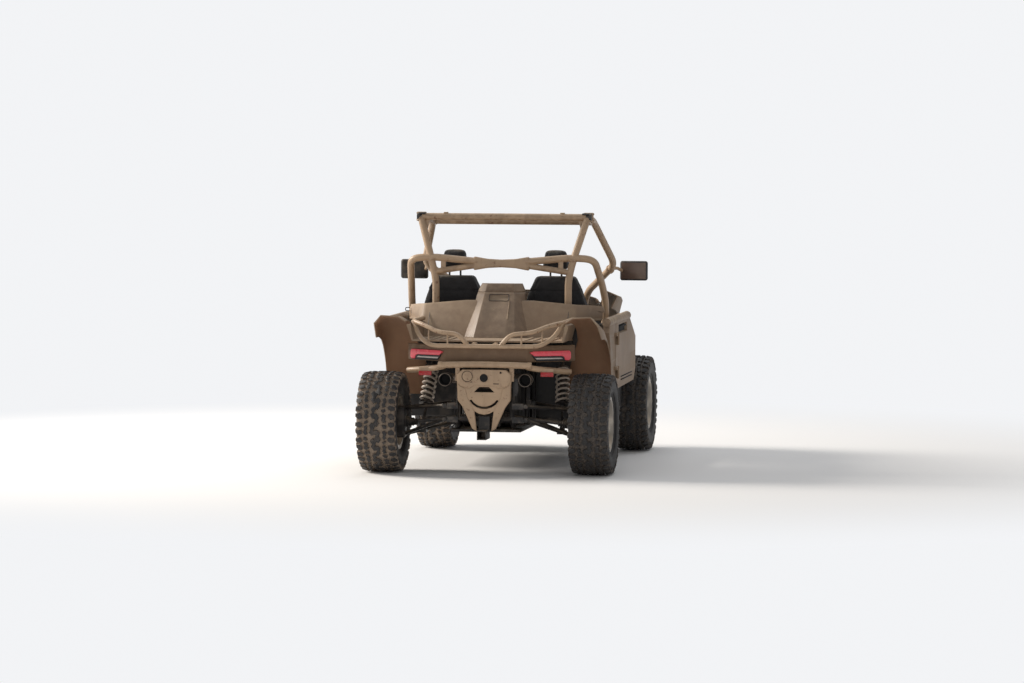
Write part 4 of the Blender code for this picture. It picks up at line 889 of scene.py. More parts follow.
def makeTailLamps():
    inner, outer = at(*tail["inner"], 0), at(*tail["outer"], 0)
    along = (outer - inner).normalized()
    out = Vector((along.y, -along.x, 0))
    matrix = Matrix(
        ((along.x, out.x, 0, inner.x), (along.y, out.y, 0, inner.y), (0, 0, 1, 0), (0, 0, 0, 1))
    )
    start, end, low, high = (tail[key] for key in ("from", "to", "low", "high"))

    def lens(bm, corners, front, material=0, bevel=0.003):
        points = [matrix @ Vector((u, 0.0004, z)) for u, z in corners]
        raised(bm, points, out * front, bevel, 3, material)

    bm = bmesh.new()
    red = [
        (start, high - 0.008), (start + 0.03, high), (end - 0.012, high), (end, high - 0.012),
        (end, low + 0.014), (end - 0.016, low + 0.002), (end - 0.044, low + 0.004),
        (end - 0.052, low + 0.026), (end - 0.070, low + 0.034), (start + 0.034, low + 0.036),
    ]
    lens(bm, red, 0.0138)
    clear = [
        (start + 0.040, low + 0.024), (end - 0.076, low + 0.022), (end - 0.062, low + 0.013),
        (start + 0.052, low + 0.013),
    ]
    lens(bm, clear, 0.0125, 1, 0.0015)
    pair(bm, "tail_lamp_lens", "chassis", "redLens", ["tail_lamp_right"], 40, "clearLens")

    bm = bmesh.new()
    case = [
        (start + 0.012, high - 0.012), (end - 0.008, high - 0.006), (end - 0.004, low + 0.008),
        (end - 0.014, low), (start + 0.056, low), (start + 0.030, low + 0.024),
    ]
    lens(bm, case, 0.0105)
    pair(bm, "tail_lamp_case", "chassis", "blackPlastic")


# Bumper: a bent tube and two swept arms, with brackets and reflector seats
bumper = {
    "bar": ((-0.32, -0.155, 0.765), (-0.12, -0.175, 0.771), (0.12, -0.175, 0.771), (0.32, -0.155, 0.765)),
    "arm": ((0.29, -0.135, 0.755), (0.36, -0.11, 0.740), (0.575, 0.03, 0.715)),
}


def makeRearBumper():
    bm = bmesh.new()
    bar(bm, bent(pathAt(bumper["bar"]), 0.08), 0.0225)
    for side in layout["sides"]:
        bar(bm, bent(pathAt(bumper["arm"], side), 0.05), 0.020)
        sided(bm, side, (0.174, -0.1717, 0.655), (0.206, -0.1493, 0.77), 0.003)
        rod(bm, at(side * 0.300, -0.157, 0.7655), at(side * 0.328, -0.154, 0.7650), 0.0245, 28, bevel=0.003)
        sided(bm, side, (0.385, -0.104, 0.694), (0.475, -0.085, 0.744), 0.003)
        sided(bm, side, (0.400, -0.100, 0.700), (0.460, -0.055, 0.732), 0.003)
        for z in (0.668, 0.70):
            bolt(bm, at(side * 0.19, -0.1717, z), Vector((0, -1, 0)), 0.006)
    piece(bm, "rear_bumper_tubes", "chassis", "tanPaint", ["rear_bumper"])
    bm = bmesh.new()
    block(bm, (0.385, -0.1120, 0.688), (0.475, -0.1042, 0.7195), 0.002, 2)
    pair(bm, "rear_reflector", "chassis", "reflectorRed")


# Guard: upper plate, two legs with their flanges, holes, slots and a groove painted near-black as shade, and
# a black bracket
guard = {
    "face": -0.192,
    "rise": 0.009,
    "legRise": 0.005,
    "upper": (
        (0.0, 0.738), (0.150, 0.736), (0.191, 0.702), (0.188, 0.652), (0.164, 0.622), (0.100, 0.606),
        (0.070, 0.628), (-0.070, 0.628), (-0.100, 0.606), (-0.164, 0.622), (-0.188, 0.652), (-0.191, 0.702),
        (-0.150, 0.736),
    ),
    "leg": (
        (0.187, 0.634), (0.183, 0.524), (0.148, 0.477), (0.081, 0.328), (0.052, 0.311), (0.070, 0.450),
        (0.118, 0.545), (0.132, 0.604), (0.160, 0.616),
    ),
    # rings round the holes as x, z, radius, wire, and the two holes' radii; the holes are near-black discs,
    # painted shade
    "rings": ((-0.117, 0.690, 0.042, 0.0034), (0.0, 0.680, 0.031, 0.003), (0.118, 0.718, 0.009, 0.002)),
    "holes": ((0.0, 0.680, 0.029), (0.118, 0.718, 0.008)),
    "groove": (-0.117, 0.690, 0.0365, 0.0018),
    "bolts": ((-0.166, 0.655), (0.166, 0.655), (-0.160, 0.56), (0.160, 0.56), (-0.085, 0.40), (0.085, 0.40)),
    "bracket": ((0.198, 0.680), (0.232, 0.672), (0.238, 0.600), (0.226, 0.556), (0.198, 0.548)),
    "slots": ((-0.126, -0.080, 0.651), (0.066, 0.106, 0.640)),
    "flange": (
        (-0.190, 0.655), (-0.176, 0.655), (-0.150, 0.62), (-0.150, 0.56), (-0.172, 0.53), (-0.190, 0.54),
    ),
}


def makeGuard():
    refined("rear_guard", "tanPaint", 0.0025, 30)
    face, rise = guard["face"], guard["rise"]
    front = face - rise
    bm = bmesh.new()
    sheet(guard["upper"], front, face + 0.0005, "XZ", bm, 0.0042, 3)
    for side in (-1, 1):
        leg = [(side * x, z) for x, z in guard["leg"]]
        sheet(leg, face - guard["legRise"], face + 0.0005, "XZ", bm, 0.0024, 3)
        low, high = sorted((side * 0.183, side * 0.187))
        sheet(guard["flange"], low, high, "YZ", bm, 0.001)
    for x, z, radius, wire in guard["rings"]:
        hoop(bm, at(x, front, z), Vector((0, 1, 0)), radius, wire, 40)
    for x, z in guard["bolts"]:
        bolt(bm, at(x, face - guard["legRise"], z), Vector((0, -1, 0)), 0.005)
    piece(bm, "rear_guard_plates", "chassis", "tanPaint")
    # near-black discs in the holes, bars in the slots and a ring in the groove: painted shade
    bm = bmesh.new()
    for x, z, radius in guard["holes"]:
        rod(bm, at(x, front - 0.0008, z), at(x, face + 0.002, z), radius, 32)
    for near, far, z in guard["slots"]:
        block(bm, (near, front - 0.0008, z - 0.003), (far, face, z + 0.003), 0.001)
    x, z, radius, wire = guard["groove"]
    hoop(bm, at(x, front, z), Vector((0, 1, 0)), radius, wire, 40)
    piece(bm, "rear_guard_hole_shade", "chassis", "blackSootAndShade")
    bm = bmesh.new()
    sheet(guard["bracket"], -0.160, -0.152, "XZ", bm, 0.002)
    for x, z in ((0.216, 0.655), (0.220, 0.572)):
        bolt(bm, at(x, -0.160, z), Vector((0, -1, 0)), 0.006)
    piece(bm, "rear_guard_bracket", "chassis", "blackSteel")


# Rack: a lower and an upper bent tube joined by short posts
rack = {
    "radius": 0.0155,
    "lower": ((0.12, -0.19, 0.900), (0.385, -0.165, 0.900), (0.47, -0.10, 0.955), (0.535, 0.0, 1.0618)),
    "upper": (
        (0.113, -0.188, 0.900), (0.181, -0.19, 0.983), (0.33, -0.165, 0.995), (0.445, -0.10, 1.042),
        (0.535, 0.0, 1.0618), (0.533, 0.40, 1.0618),
    ),
    "posts": ((0.26, -0.180, 0.945), (0.40, -0.140, 0.965)),
    "welds": ((0.124, -0.188, 0.917), (0.528, -0.008, 1.060)),
}


def makeRack():
    bm = bmesh.new()
    lower = pathAt(reversed(rack["lower"]), -1) + pathAt(rack["lower"])
    bar(bm, bent(lower, 0.06), rack["radius"], 18)
    for side in layout["sides"]:
        bar(bm, bent(pathAt(rack["upper"], side), 0.05), rack["radius"], 18)
        sided(bm, side, (0.06, -0.190, 0.907), (0.09, -0.105, 0.922), 0.003)
        sided(bm, side, (0.06, -0.125, 0.9003), (0.09, -0.105, 0.922), 0.003)
        bolt(bm, at(side * 0.075, -0.145, 0.922), Vector((0, 0, 1)), 0.005)
        for centre in pathAt(rack["posts"], side):
            rod(bm, centre - Vector((0, 0, 0.045)), centre + Vector((0, 0, 0.040)), 0.006, 12)
        rod(bm, at(side * 0.533, 0.395, 1.0618), at(side * 0.533, 0.403, 1.0618), 0.0165, 20, bevel=0.002)
        for centre in pathAt(rack["welds"], side):
            hoop(bm, centre, Vector((side * 0.6, 0.1, 0.7)), 0.0165, 0.0026, 20, 6)
    piece(bm, "cargo_rack_tubes", "chassis", "tanPaint", ["cargo_rack"])


# Fenders: folded sheets whose underside takes a darker brown: painted shade, warmed as by light bounced off
# sand
rearFender = {
    "wall": 0.009,
    "fold": 0.014,
    "rows": (
        # inner edge, crown inside, crown outside, corner, lip, each as x, station, z
        ((0.566, -0.150, 1.066), (0.616, -0.155, 1.098), (0.738, -0.150, 1.104), (0.786, -0.145, 1.048),
         (0.798, 0.000, 0.942)),
        ((0.572, 0.000, 1.062), (0.620, 0.000, 1.088), (0.732, 0.000, 1.086), (0.790, 0.040, 1.020),
         (0.802, 0.120, 0.940)),
        ((0.582, 0.140, 1.042), (0.622, 0.140, 1.062), (0.728, 0.150, 1.056), (0.790, 0.180, 0.985),
         (0.804, 0.230, 0.915)),
        ((0.582, 0.270, 0.992), (0.620, 0.270, 1.010), (0.726, 0.280, 1.000), (0.788, 0.290, 0.930),
         (0.806, 0.310, 0.870)),
        ((0.578, 0.360, 0.920), (0.615, 0.360, 0.930), (0.724, 0.365, 0.915), (0.786, 0.370, 0.860),
         (0.808, 0.372, 0.810)),
        ((0.545, 0.420, 0.830), (0.600, 0.420, 0.835), (0.720, 0.420, 0.820), (0.785, 0.420, 0.780),
         (0.808, 0.415, 0.745)),
        ((0.505, 0.452, 0.700), (0.590, 0.452, 0.700), (0.718, 0.452, 0.690), (0.785, 0.450, 0.670),
         (0.806, 0.445, 0.650)),
        ((0.480, 0.465, 0.520), (0.580, 0.465, 0.520), (0.715, 0.465, 0.520), (0.780, 0.465, 0.520),
         (0.800, 0.460, 0.520)),
    ),
    "quarter": (
        (0.44, 0.60), (0.48, 0.53), (0.712, 0.53), (0.712, 1.035), (0.40, 1.035), (0.385, 0.97),
        (0.455, 0.86),
    ),
}
# The flank, its belt rail and the door's hinge line, shared by the quarter and the door
flankX = 0.80
belt = {"radius": 0.031, "z": 1.045, "inset": 0.02}
hinge = (0.818, 0.719)


def hingeParts(bm, side):
    # side 1 is the door's half of each hinge and -1 the body's
    for z in (0.66, 0.90):
        low = z - 0.03 if side > 0 else z + 0.0303
        high = low + (0.06 if side > 0 else 0.03)
        near, far = sorted((hinge[1] + side * 0.004, hinge[1] + side * 0.06))
        rod(bm, at(*hinge, low), at(*hinge, high), 0.009, 20, bevel=0.001)
        block(bm, (flankX - 0.01, near, low + 0.002), (hinge[0], far, high - 0.002), 0.002)
        spot = at(hinge[0], (near + far) / 2 + side * 0.012, (low + high) / 2)
        bolt(bm, spot, Vector((1, 0, 0)), 0.0045)


def makeRearFender():
    bm = bmesh.new()
    panel(bm, [pathAt(row) for row in rearFender["rows"]])
    folds(bm, rearFender["fold"])
    outward(bm, (0.5, -0.3, 1))
    node = ["rear_fender_right"]
    # the wall's inner side takes the second finish, the brown of painted shade
    right = piece(bm, "rear_fender_sheet_right", "chassis", "tanPanel", node, 60, "linerPaintedShade")
    edged(walled(right, rearFender["wall"], 0.0, 1), 0.0025)
    bothSides(right, "rear_fender_sheet", "chassis", node)

    bm = bmesh.new()
    sheet(rearFender["quarter"], flankX - 0.045, flankX, "YZ", bm)
    cutAt(bm, at(0, 0, 0.975), (0, 0.05, 1))
    cutAt(bm, at(0, 0, 0.78), (0, 0.02, 1))
    cutAt(bm, at(0, 0, 0.60), (0, -0.1, 1))
    pressed(bm, lambda c, n: n.x > 0.9 and 0.60 < c.z < 0.78, 0.010, 0.003)
    pressed(bm, lambda c, n: n.x > 0.9 and 0.78 < c.z < 0.975 and c.x > flankX - 0.001, 0.010, 0.003)
    folds(bm, 0.006, 3, 60)
    railX = flankX - belt["inset"]
    bar(bm, [at(railX, 0.37, belt["z"]), at(railX, 0.712, belt["z"])], belt["radius"], 28)
    block(bm, (0.7003, 0.65, 0.53), (flankX - 0.01, 0.70, 0.56), 0.003)
    hingeParts(bm, -1)
    pair(bm, "rear_quarter", "chassis", "tanPanel", (), 40)


# Doors: a slab with a pressed field, a round belt rail, a dark pull and hinge leaves
door = {
    "outline": (
        (0.72, 0.57), (0.76, 0.55), (1.72, 0.56), (1.82, 0.64), (1.82, 0.88), (1.48, 1.035), (0.72, 1.035),
    ),
    "pull": (0.87, 1.34, 0.940, 1.005),
    "pullDepth": 0.022,
    "pullRim": 0.006,
    "fold": 0.78,
}


def makeDoor():
    bm = bmesh.new()
    sheet(door["outline"], flankX - 0.045, flankX, "YZ", bm)
    rearY, frontY, low, high = door["pull"]
    for y in (rearY, frontY):
        cutAt(bm, at(0, y, 0), (0, 1, 0))
    for z in (low, high, door["fold"], 0.64):
        cutAt(bm, at(0, 0, z), (0, 0, 1))
    baseY = layout["rearAxleY"]
    inPull = lambda c, n: n.x > 0.9 and rearY < c.y - baseY < frontY and low < c.z < high
    pressed(bm, inPull, 0.002, door["pullDepth"] - 0.0004)
    for foot, head in ((0.64, door["fold"]), (0.0, 0.64)):
        pressed(bm, lambda c, n: n.x > 0.9 and c.x > flankX - 0.001 and foot < c.z < head, 0.012, 0.003)
    folds(bm, 0.004, 3, 60)
    railX = flankX - belt["inset"]
    bar(bm, [at(railX, 0.7205, belt["z"]), at(railX, 1.47, belt["z"])], belt["radius"], 28)
    hingeParts(bm, 1)
    pair(bm, "door_skin", "door_right_body", "tanPanel", ["door_right"], 40)
    bm = bmesh.new()
    deep = flankX - door["pullDepth"]
    inset = door["pullRim"]
    near = (deep - 0.0005, rearY + inset, low + inset)
    block(bm, near, (deep + 0.003, frontY - inset, high - inset), 0.001)
    grip = [at(deep + 0.010, y, 0.985) for y in (rearY + 0.02, frontY - 0.02)]
    rod(bm, *grip, 0.007, 16, bevel=0.002)
    for z in (0.600, 0.622):
        block(bm, (flankX - 0.004, 1.02, z), (flankX + 0.0015, 1.62, z + 0.008), 0.002)
    pair(bm, "door_pull", "door_right_body", "blackSootAndShade")


# Front: hood, its vents and the pointed fenders
hood = {
    "rows": (
        # y, crown z, half width, edge z
        (1.866, 1.208, 0.500, 1.150),
        (2.00, 1.190, 0.500, 1.130),
        (2.15, 1.158, 0.475, 1.098),
        (2.30, 1.115, 0.430, 1.057),
        (2.52, 1.010, 0.330, 0.965),
        (2.62, 0.920, 0.300, 0.880),
    ),
}
vents = {
    "count": 4,
    "x": 0.17,
    "from": 1.93,
    "step": 0.045,
    "half": (0.075, 0.009, 0.004),
    # the hood under them: height at a station, fall per metre, and its tilt and roll in degrees
    "height": (1.866, 1.2100),
    "fall": 0.1343,
    "tilt": 7.5,
    "roll": 2.5,
}


def makeHood():
    bm = bmesh.new()
    rows = []
    for y, crown, half, edge in hood["rows"]:
        section = [
            (half + 0.006, edge - 0.035), (half, edge), (half * 0.62, crown - 0.004),
            (half * 0.3, crown + 0.003), (0, crown),
        ]
        section += [(-x, z) for x, z in reversed(section[:-1])]
        rows.append([at(-x, y, z) for x, z in section])
    panel(bm, rows)
    folds(bm, 0.012, 3, 9)
    outward(bm, (0, 0, 1))
    edged(walled(piece(bm, "hood_skin", "chassis", "tanPanel", ["hood"], 50), 0.008, -1.0), 0.0025)
    bm = bmesh.new()
    station, height = vents["height"]
    half = Vector(vents["half"])
    for side in (-1, 1):
        turn = Matrix.Rotation(-math.radians(vents["tilt"]), 4, "X")
        turn = turn @ Matrix.Rotation(math.radians(vents["roll"]) * side, 4, "Y")
        for i in range(vents["count"]):
            y = vents["from"] + i * vents["step"]
            place = at(side * vents["x"], y, height - (y - station) * vents["fall"])
            block(bm, -half, half, 0.003, 2, Matrix.Translation(place) @ turn)
    piece(bm, "hood_vents", "chassis", "blackPlastic")


# Front fender: from the hood's edge over a valley and a crest to the tip, then under
frontFender = {
    "wall": 0.009,
    "gap": 0.0085,
    "valley": (0.035, 0.04),
    "rows": (
        # crest x, z, tip x, z and underside x, z, in the order of the hood's rows
        (0.565, 1.205, 0.655, 1.165, 0.610, 1.075),
        (0.562, 1.187, 0.665, 1.150, 0.625, 1.055),
        (0.540, 1.157, 0.655, 1.120, 0.625, 1.020),
        (0.500, 1.112, 0.625, 1.075, 0.600, 0.970),
        (0.430, 1.000, 0.560, 0.965, 0.540, 0.880),
        (0.400, 0.905, 0.500, 0.885, 0.490, 0.845),
    ),
}


def makeFrontFender():
    bm = bmesh.new()
    rows = []
    width, depth = frontFender["valley"]
    for (y, _, hoodX, hoodZ), section in zip(hood["rows"], frontFender["rows"]):
        inner = [(hoodX + frontFender["gap"], hoodZ - depth / 2), (hoodX + width, hoodZ - depth)]
        rows.append([at(x, y, z) for x, z in [*inner, *zip(section[::2], section[1::2])]])
    panel(bm, rows)
    folds(bm, 0.008, 3)
    outward(bm, (0.3, 0, 1))
    node = ["front_fender_right"]
    right = piece(bm, "front_fender_sheet_right", "chassis", "tanPanel", node, 60)
    edged(walled(right, frontFender["wall"]), 0.0025)
    bothSides(right, "front_fender_sheet", "chassis", node)


# Mirrors: rounded housing on a stalk from the cage, glass facing back
mirror = {
    "case": ((0.712, 1.587, 1.292), (0.915, 1.630, 1.435)),
    "glass": ((0.724, 1.5848, 1.304), (0.903, 1.589, 1.423)),
    "stalk": (0.73, 1.606, 1.362),
    "grip": 0.17,
    "clamp": (0.0285, 0.0042, 32),
}


def makeMirror():
    bm = bmesh.new()
    block(bm, *mirror["case"], 0.017, 4)
    pair(bm, "mirror_case", "chassis", "blackPlastic", ["mirror_right"])
    kink, foot = at(*cage["frontRail"][2]), at(*cage["frontRail"][3])
    run = (foot - kink).normalized()
    grip = kink + (foot - kink) * mirror["grip"]
    centre = at(*mirror["stalk"])
    away = centre - grip
    away = (away - run * away.dot(run)).normalized()
    start = grip + away * (cage["radius"] + 0.0003)
    bm = bmesh.new()
    bar(bm, bent([start, start + away * 0.03, centre], 0.03), 0.012, 16)
    for along in (0.0, 0.012):
        hoop(bm, grip + run * along, run, *mirror["clamp"])
    rise = Vector((0, 0, 0.02))
    rod(bm, centre - rise, centre + rise, 0.016, 24, bevel=0.003)
    bolt(bm, centre + rise, Vector((0, 0, 1)), 0.007)
    pair(bm, "mirror_arm", "chassis", "tanPaint")
    bm = bmesh.new()
    block(bm, *mirror["glass"], 0.002, 2)
    pair(bm, "mirror_glass", "chassis", "mirrorGlass")


# Shocks: a spring over a damper, between two eyes
shocks = {
    # upper eye, lower eye, spring's lower end above the lower eye
    "rear_shock": ((0.465, 0.42, 0.775), (0.495, 0.19, 0.335), 0.15),
    "front_shock": ((0.345, 2.31, 0.805), (0.47, 2.31, 0.335), 0.13),
    "coilRadius": 0.045,
    "wire": 0.008,
    "coils": 7,
    "top": 0.070,
    # the cup at each end of the spring, as distance along and radius
    "cup": (
        (-0.008, 0.020), (-0.008, 0.0515), (0.008, 0.0515), (0.008, 0.046), (0.002, 0.044), (0.002, 0.020),
    ),
}


def makeShocks():
    for name in ("rear_shock", "front_shock"):
        upper, lower, below = shocks[name]
        top, bottom = at(*upper), at(*lower)
        length = (bottom - top).length
        along = (bottom - top).normalized()
        matrix = Matrix.Translation(top) @ turnTo(along)
        down = lambda far: matrix @ Vector((0, 0, far))
        springTop, springBottom = shocks["top"], length - below
        bm = bmesh.new()
        count = shocks["coils"] * 20
        coil = []
        for i in range(count + 1):
            turn = math.tau * shocks["coils"] * i / count
            ends = min(i, count - i) / 20
            rise = springTop + (springBottom - springTop) * i / count
            radius = shocks["coilRadius"] - max(0.0, 0.4 - ends) * 0.004
            coil.append(matrix @ polar(radius, turn, rise))
        bar(bm, coil, shocks["wire"], 10)
        pair(bm, name + "_spring", "chassis", "springSteel")

        bm = bmesh.new()
        rod(bm, down(0), down(0.06), 0.010)
        rod(bm, down(0.05), down(springBottom + 0.02), 0.024, 28, bevel=0.003)
        rod(bm, down(springBottom), down(length), 0.010)
        for far, out in ((springTop, -1), (springBottom, 1)):
            turned(bm, shocks["cup"], down(far), 36, along * -out)
        for i in range(5):
            hoop(bm, down(0.09 + i * 0.009), along, 0.0245, 0.002, 24, 6)
        for eye in (top, bottom):
            across = Vector((0, 0.016, 0))
            rod(bm, eye - across, eye + across, 0.018, 28, bevel=0.003)
        pair(bm, name + "_damper", "chassis", "blackSteel", [name + "_right"])


# Exhaust: a silencer across the back with two open bells
exhaust = {
    "x": 0.282,
    "z": 0.663,
    "can": (0.070, 0.18, -0.02, 0.665),
    # the inside of a bell: within this radius, between these two distances from its start
    "boreSootAndShade": (0.0407, -0.108, -0.0236),
    "bell": (
        # distance back from the elbow, radius
        (0.0, 0.034), (0.010, 0.041), (0.030, 0.0455), (0.104, 0.0460), (0.1085, 0.0452),
        (0.110, 0.0430), (0.1085, 0.0408), (0.104, 0.0400), (0.026, 0.0400), (0.024, 0.0060),
        (0.004, 0.0060),
    ),
}


def makeExhaust():
    bm = bmesh.new()
    radius, half, y, z = exhaust["can"]
    rod(bm, at(-half, y, z), at(half, y, z), radius, 40, bevel=0.008)
    rod(bm, at(0, 0.0, z), at(0, 0.0995, z), 0.028, 24)
    for x in (-0.12, 0.12):
        hoop(bm, at(x, y, z), Vector((1, 0, 0)), radius + 0.001, 0.003, 40)
    mouth = []
    for side in layout["sides"]:
        x = side * exhaust["x"]
        elbow = [at(side * 0.15, y, z), at(x, y, z), at(x, -0.10, exhaust["z"])]
        bar(bm, bent(elbow, 0.06), 0.034, 24)
        start = at(x, -0.055, exhaust["z"])
        turned(bm, exhaust["bell"], start, 40, (0, -1, 0))
        mouth.append(start)
        rod(bm, start + Vector((0, -0.0235, 0)), start + Vector((0, -0.026, 0)), 0.0395, 32)
        hoop(bm, start + Vector((0, -0.012, 0)), Vector((0, 1, 0)), 0.0425, 0.0026, 32)
    bmesh.ops.recalc_face_normals(bm, faces=bm.faces)
    # each bell is closed behind its mouth, and its inside is made near-black: soot, and painted shade of the
    # pipe's depth
    radius, back, deep = exhaust["boreSootAndShade"]
    for face in bm.faces:
        for start in mouth:
            off = face.calc_center_median() - start
            if math.hypot(off.x, off.z) < radius and back < off.y < deep:
                face.material_index = 1
    piece(bm, "exhaust_pipes", "chassis", "exhaustSteel", ["exhaust"], 40, "blackSootAndShade")


# Seats: three pads each, inflated as cloth, on a low steel base
seat = {
    "x": 0.365,
    "voxel": 0.009,
    "pressure": 4.0,
    "frames": 20,
    "corner": 0.018,
    "base": ((0.20, 0.86, 0.3696), (0.53, 1.22, 0.405)),
    "runners": (0.235, 0.495),
    "posts": (0.325, 0.405),
    "hinges": (0.16, 0.57),
    "seam": {"width": 0.006, "channel": 0.0055, "side": 0.0045, "sideShare": 0.70},
    "pads": {
        # outline as station, z; half widths as z, half; channels as axis, places; cap; fill
        "cushion": {
            "outline": (
                (0.800, 0.420), (1.265, 0.420), (1.310, 0.495), (1.280, 0.556), (0.90, 0.572),
                (0.775, 0.565), (0.768, 0.50),
            ),
            "halves": ((0.42, 0.195), (0.50, 0.232), (0.572, 0.236)),
            "channels": (1, (0.92, 1.03, 1.14)), "cap": 0.010, "fill": 0.7,
        },
        "backrest": {
            "outline": (
                (0.905, 0.612), (0.852, 0.72), (0.850, 0.90), (0.832, 1.16), (0.822, 1.27),
                (0.812, 1.362), (0.690, 1.362), (0.692, 1.27), (0.697, 1.16), (0.711, 0.90), (0.726, 0.62),
            ),
            "halves": (
                (0.612, 0.222), (0.72, 0.234), (1.02, 0.236), (1.16, 0.226), (1.27, 0.205), (1.362, 0.136),
            ),
            "channels": (2, (0.78, 0.90, 1.02, 1.14, 1.25)), "cap": 0.009, "fill": 0.7,
        },
        "headrest": {
            "outline": (
                (0.804, 1.402), (0.802, 1.43), (0.794, 1.495), (0.784, 1.538), (0.696, 1.538),
                (0.688, 1.495), (0.683, 1.402),
            ),
            "halves": ((1.402, 0.084), (1.43, 0.089), (1.495, 0.090), (1.538, 0.063)),
            "channels": (2, (1.47,)), "cap": 0.006, "fill": 0.8,
        },
    },
}


def halfAt(rows, z):
    for (lowZ, lowHalf), (highZ, highHalf) in zip(rows, rows[1:]):
        if z <= highZ:
            share = max(0.0, (z - lowZ) / (highZ - lowZ))
            return lowHalf + (highHalf - lowHalf) * share
    return rows[-1][1]


def bakeModifiers(obj):
    bpy.context.view_layer.update()
    shaped = obj.evaluated_get(bpy.context.evaluated_depsgraph_get())
    mesh = bpy.data.meshes.new_from_object(shaped)
    obj.modifiers.clear()
    obj.data = mesh


def inflated(obj, cap):
    remesh = obj.modifiers.new("Voxels", "REMESH")
    remesh.mode = "VOXEL"
    remesh.voxel_size = seat["voxel"]
    bakeModifiers(obj)
    before = [vert.co.copy() for vert in obj.data.vertices]
    cloth = obj.modifiers.new("Cloth", "CLOTH")
    cloth.settings.use_pressure = True
    cloth.settings.uniform_pressure_force = seat["pressure"]
    cloth.settings.effector_weights.gravity = 0.0
    for frameNumber in range(1, seat["frames"] + 1):
        bpy.context.scene.frame_set(frameNumber)
    bakeModifiers(obj)
    bpy.context.scene.frame_set(1)
    for vert, old in zip(obj.data.vertices, before):
        moved = vert.co - old
        if moved.length > cap:
            vert.co = old + moved.normalized() * cap


def channelled(obj, pad):
    # sewn channels across the pad, and a seam along its side
    seam = seat["seam"]
    axis, places = pad["channels"]
    offset = layout["rearAxleY"] if axis == 1 else 0.0
    mesh = obj.data
    normals = [vert.normal.copy() for vert in mesh.vertices]
    for vert, normal in zip(mesh.vertices, normals):
        facing = normal.z if axis == 1 else abs(normal.y)
        depth = 0.0
        for place in places:
            away = (vert.co[axis] - offset - place) / seam["width"]
            depth += math.exp(-away * away) * seam["channel"] * max(0.0, facing)
        half = halfAt(pad["halves"], vert.co.z) * seam["sideShare"]
        away = (abs(vert.co.x - seat["x"]) - half) / seam["width"]
        depth += math.exp(-away * away) * seam["side"] * max(0.0, facing)
        vert.co -= normal * depth
    mesh.update()


def makeSeats():
    for name, pad in seat["pads"].items():
        bm = bmesh.new()
        widest = max(half for _, half in pad["halves"])
        sheet(pad["outline"], seat["x"] - widest, seat["x"] + widest, "YZ", bm)
        for z, _ in pad["halves"][1:-1]:
            cutAt(bm, at(0, 0, z), (0, 0, 1))
        for vert in bm.verts:
            share = halfAt(pad["halves"], vert.co.z) / widest
            vert.co.x = seat["x"] + (vert.co.x - seat["x"]) * share
        folds(bm, seat["corner"], 4, 35)
        right = piece(bm, f"seat_{name}_right", "chassis", "seatCover", ["seat_right"], 80)
        inflated(right, pad["cap"])
        channelled(right, pad)
        right.data.shade_smooth()
        left = bothSides(right, f"seat_{name}", "chassis", ["seat_right"])
        for obj in (right, left):
            smoothed(obj, 1)
    bm = bmesh.new()
    block(bm, *seat["base"], 0.004)
    for x in seat["runners"]:
        block(bm, (x - 0.016, 0.84, 0.400), (x + 0.016, 1.24, 0.418), 0.003)
    for x in seat["posts"]:
        rod(bm, at(x, 0.745, 1.350), at(x, 0.745, 1.420), 0.007, 16)
    for x in seat["hinges"]:
        block(bm, (x - 0.008, 0.74, 0.560), (x + 0.008, 0.80, 0.640), 0.004)
    pair(bm, "seat_base", "chassis", "blackSteel", ["seat_right"])


# Cabin: steering wheel, dashboard with gauge rings and switches
steering = {
    "centre": (-0.365, 1.46, 1.06), "tilt": 32, "radius": 0.17, "grip": 0.014, "spokes": (0, 180, 270),
}
dash = {
    # rings as x, radius; switches as x, with half their width
    "rings": ((-0.365, 0.052), (-0.27, 0.030)),
    "ringPlace": (1.622, 1.045),
    "switches": (0.10, 0.16, 0.22, 0.28),
    "switchHalf": 0.018,
}


def makeCabin():
    tilt = math.radians(steering["tilt"])
    centre = at(*steering["centre"])
    axis = Vector((0, math.cos(tilt), -math.sin(tilt)))
    matrix = Matrix.Translation(centre) @ turnTo(axis)
    bm = bmesh.new()
    radius = steering["radius"]
    hoop(bm, centre, axis, radius, steering["grip"], 64, 16)
    rod(bm, centre - axis * 0.02, centre + axis * 0.0295, 0.040, 32, bevel=0.004)
    for angle in steering["spokes"]:
        rod(bm, centre, matrix @ polar(radius, math.radians(angle)), 0.011, 16, 0.009)
    body = body_of(nodes["steering_wheel"])[0]
    piece(bm, "steering_wheel_rim", body, "blackPlastic", ["steering_wheel"])
    refined("dashboard", "blackPlastic", 0.008)
    bm = bmesh.new()
    for x, size in dash["rings"]:
        hoop(bm, at(x, *dash["ringPlace"]), Vector((0, 1, -0.3)), size, 0.004, 40)
    half = dash["switchHalf"]
    for x in dash["switches"]:
        block(bm, (x - half, 1.612, 1.000), (x + half, 1.622, 1.028), 0.003)
    piece(bm, "dashboard_controls", "chassis", "blackPlastic")


# Drive cases with shafts and ribbed boots
drive = {
    # station and the reach of the outer boot
    "rear": (0.0, 0.5847),
    "front": (layout["wheelbase"], 0.612),
    "height": 0.402,
    "case": (0.10, 0.075, 0.3183, 0.462),
    "shaft": 0.014,
    "boot": (0.09, 0.045, 0.020),
    "ribs": 5,
}


def boot(bm, mouth, along, length, wide, narrow):
    ribs = drive["ribs"]
    outline = []
    for i in range(ribs * 2 + 1):
        share = i / (ribs * 2)
        radius = wide + (narrow - wide) * share - (0.005 if i % 2 else 0.0)
        outline.append((length * share, max(radius, 0.012)))
    turned(bm, [*outline, (length, 0.008), (0.0, 0.008)], mouth, 28, along)


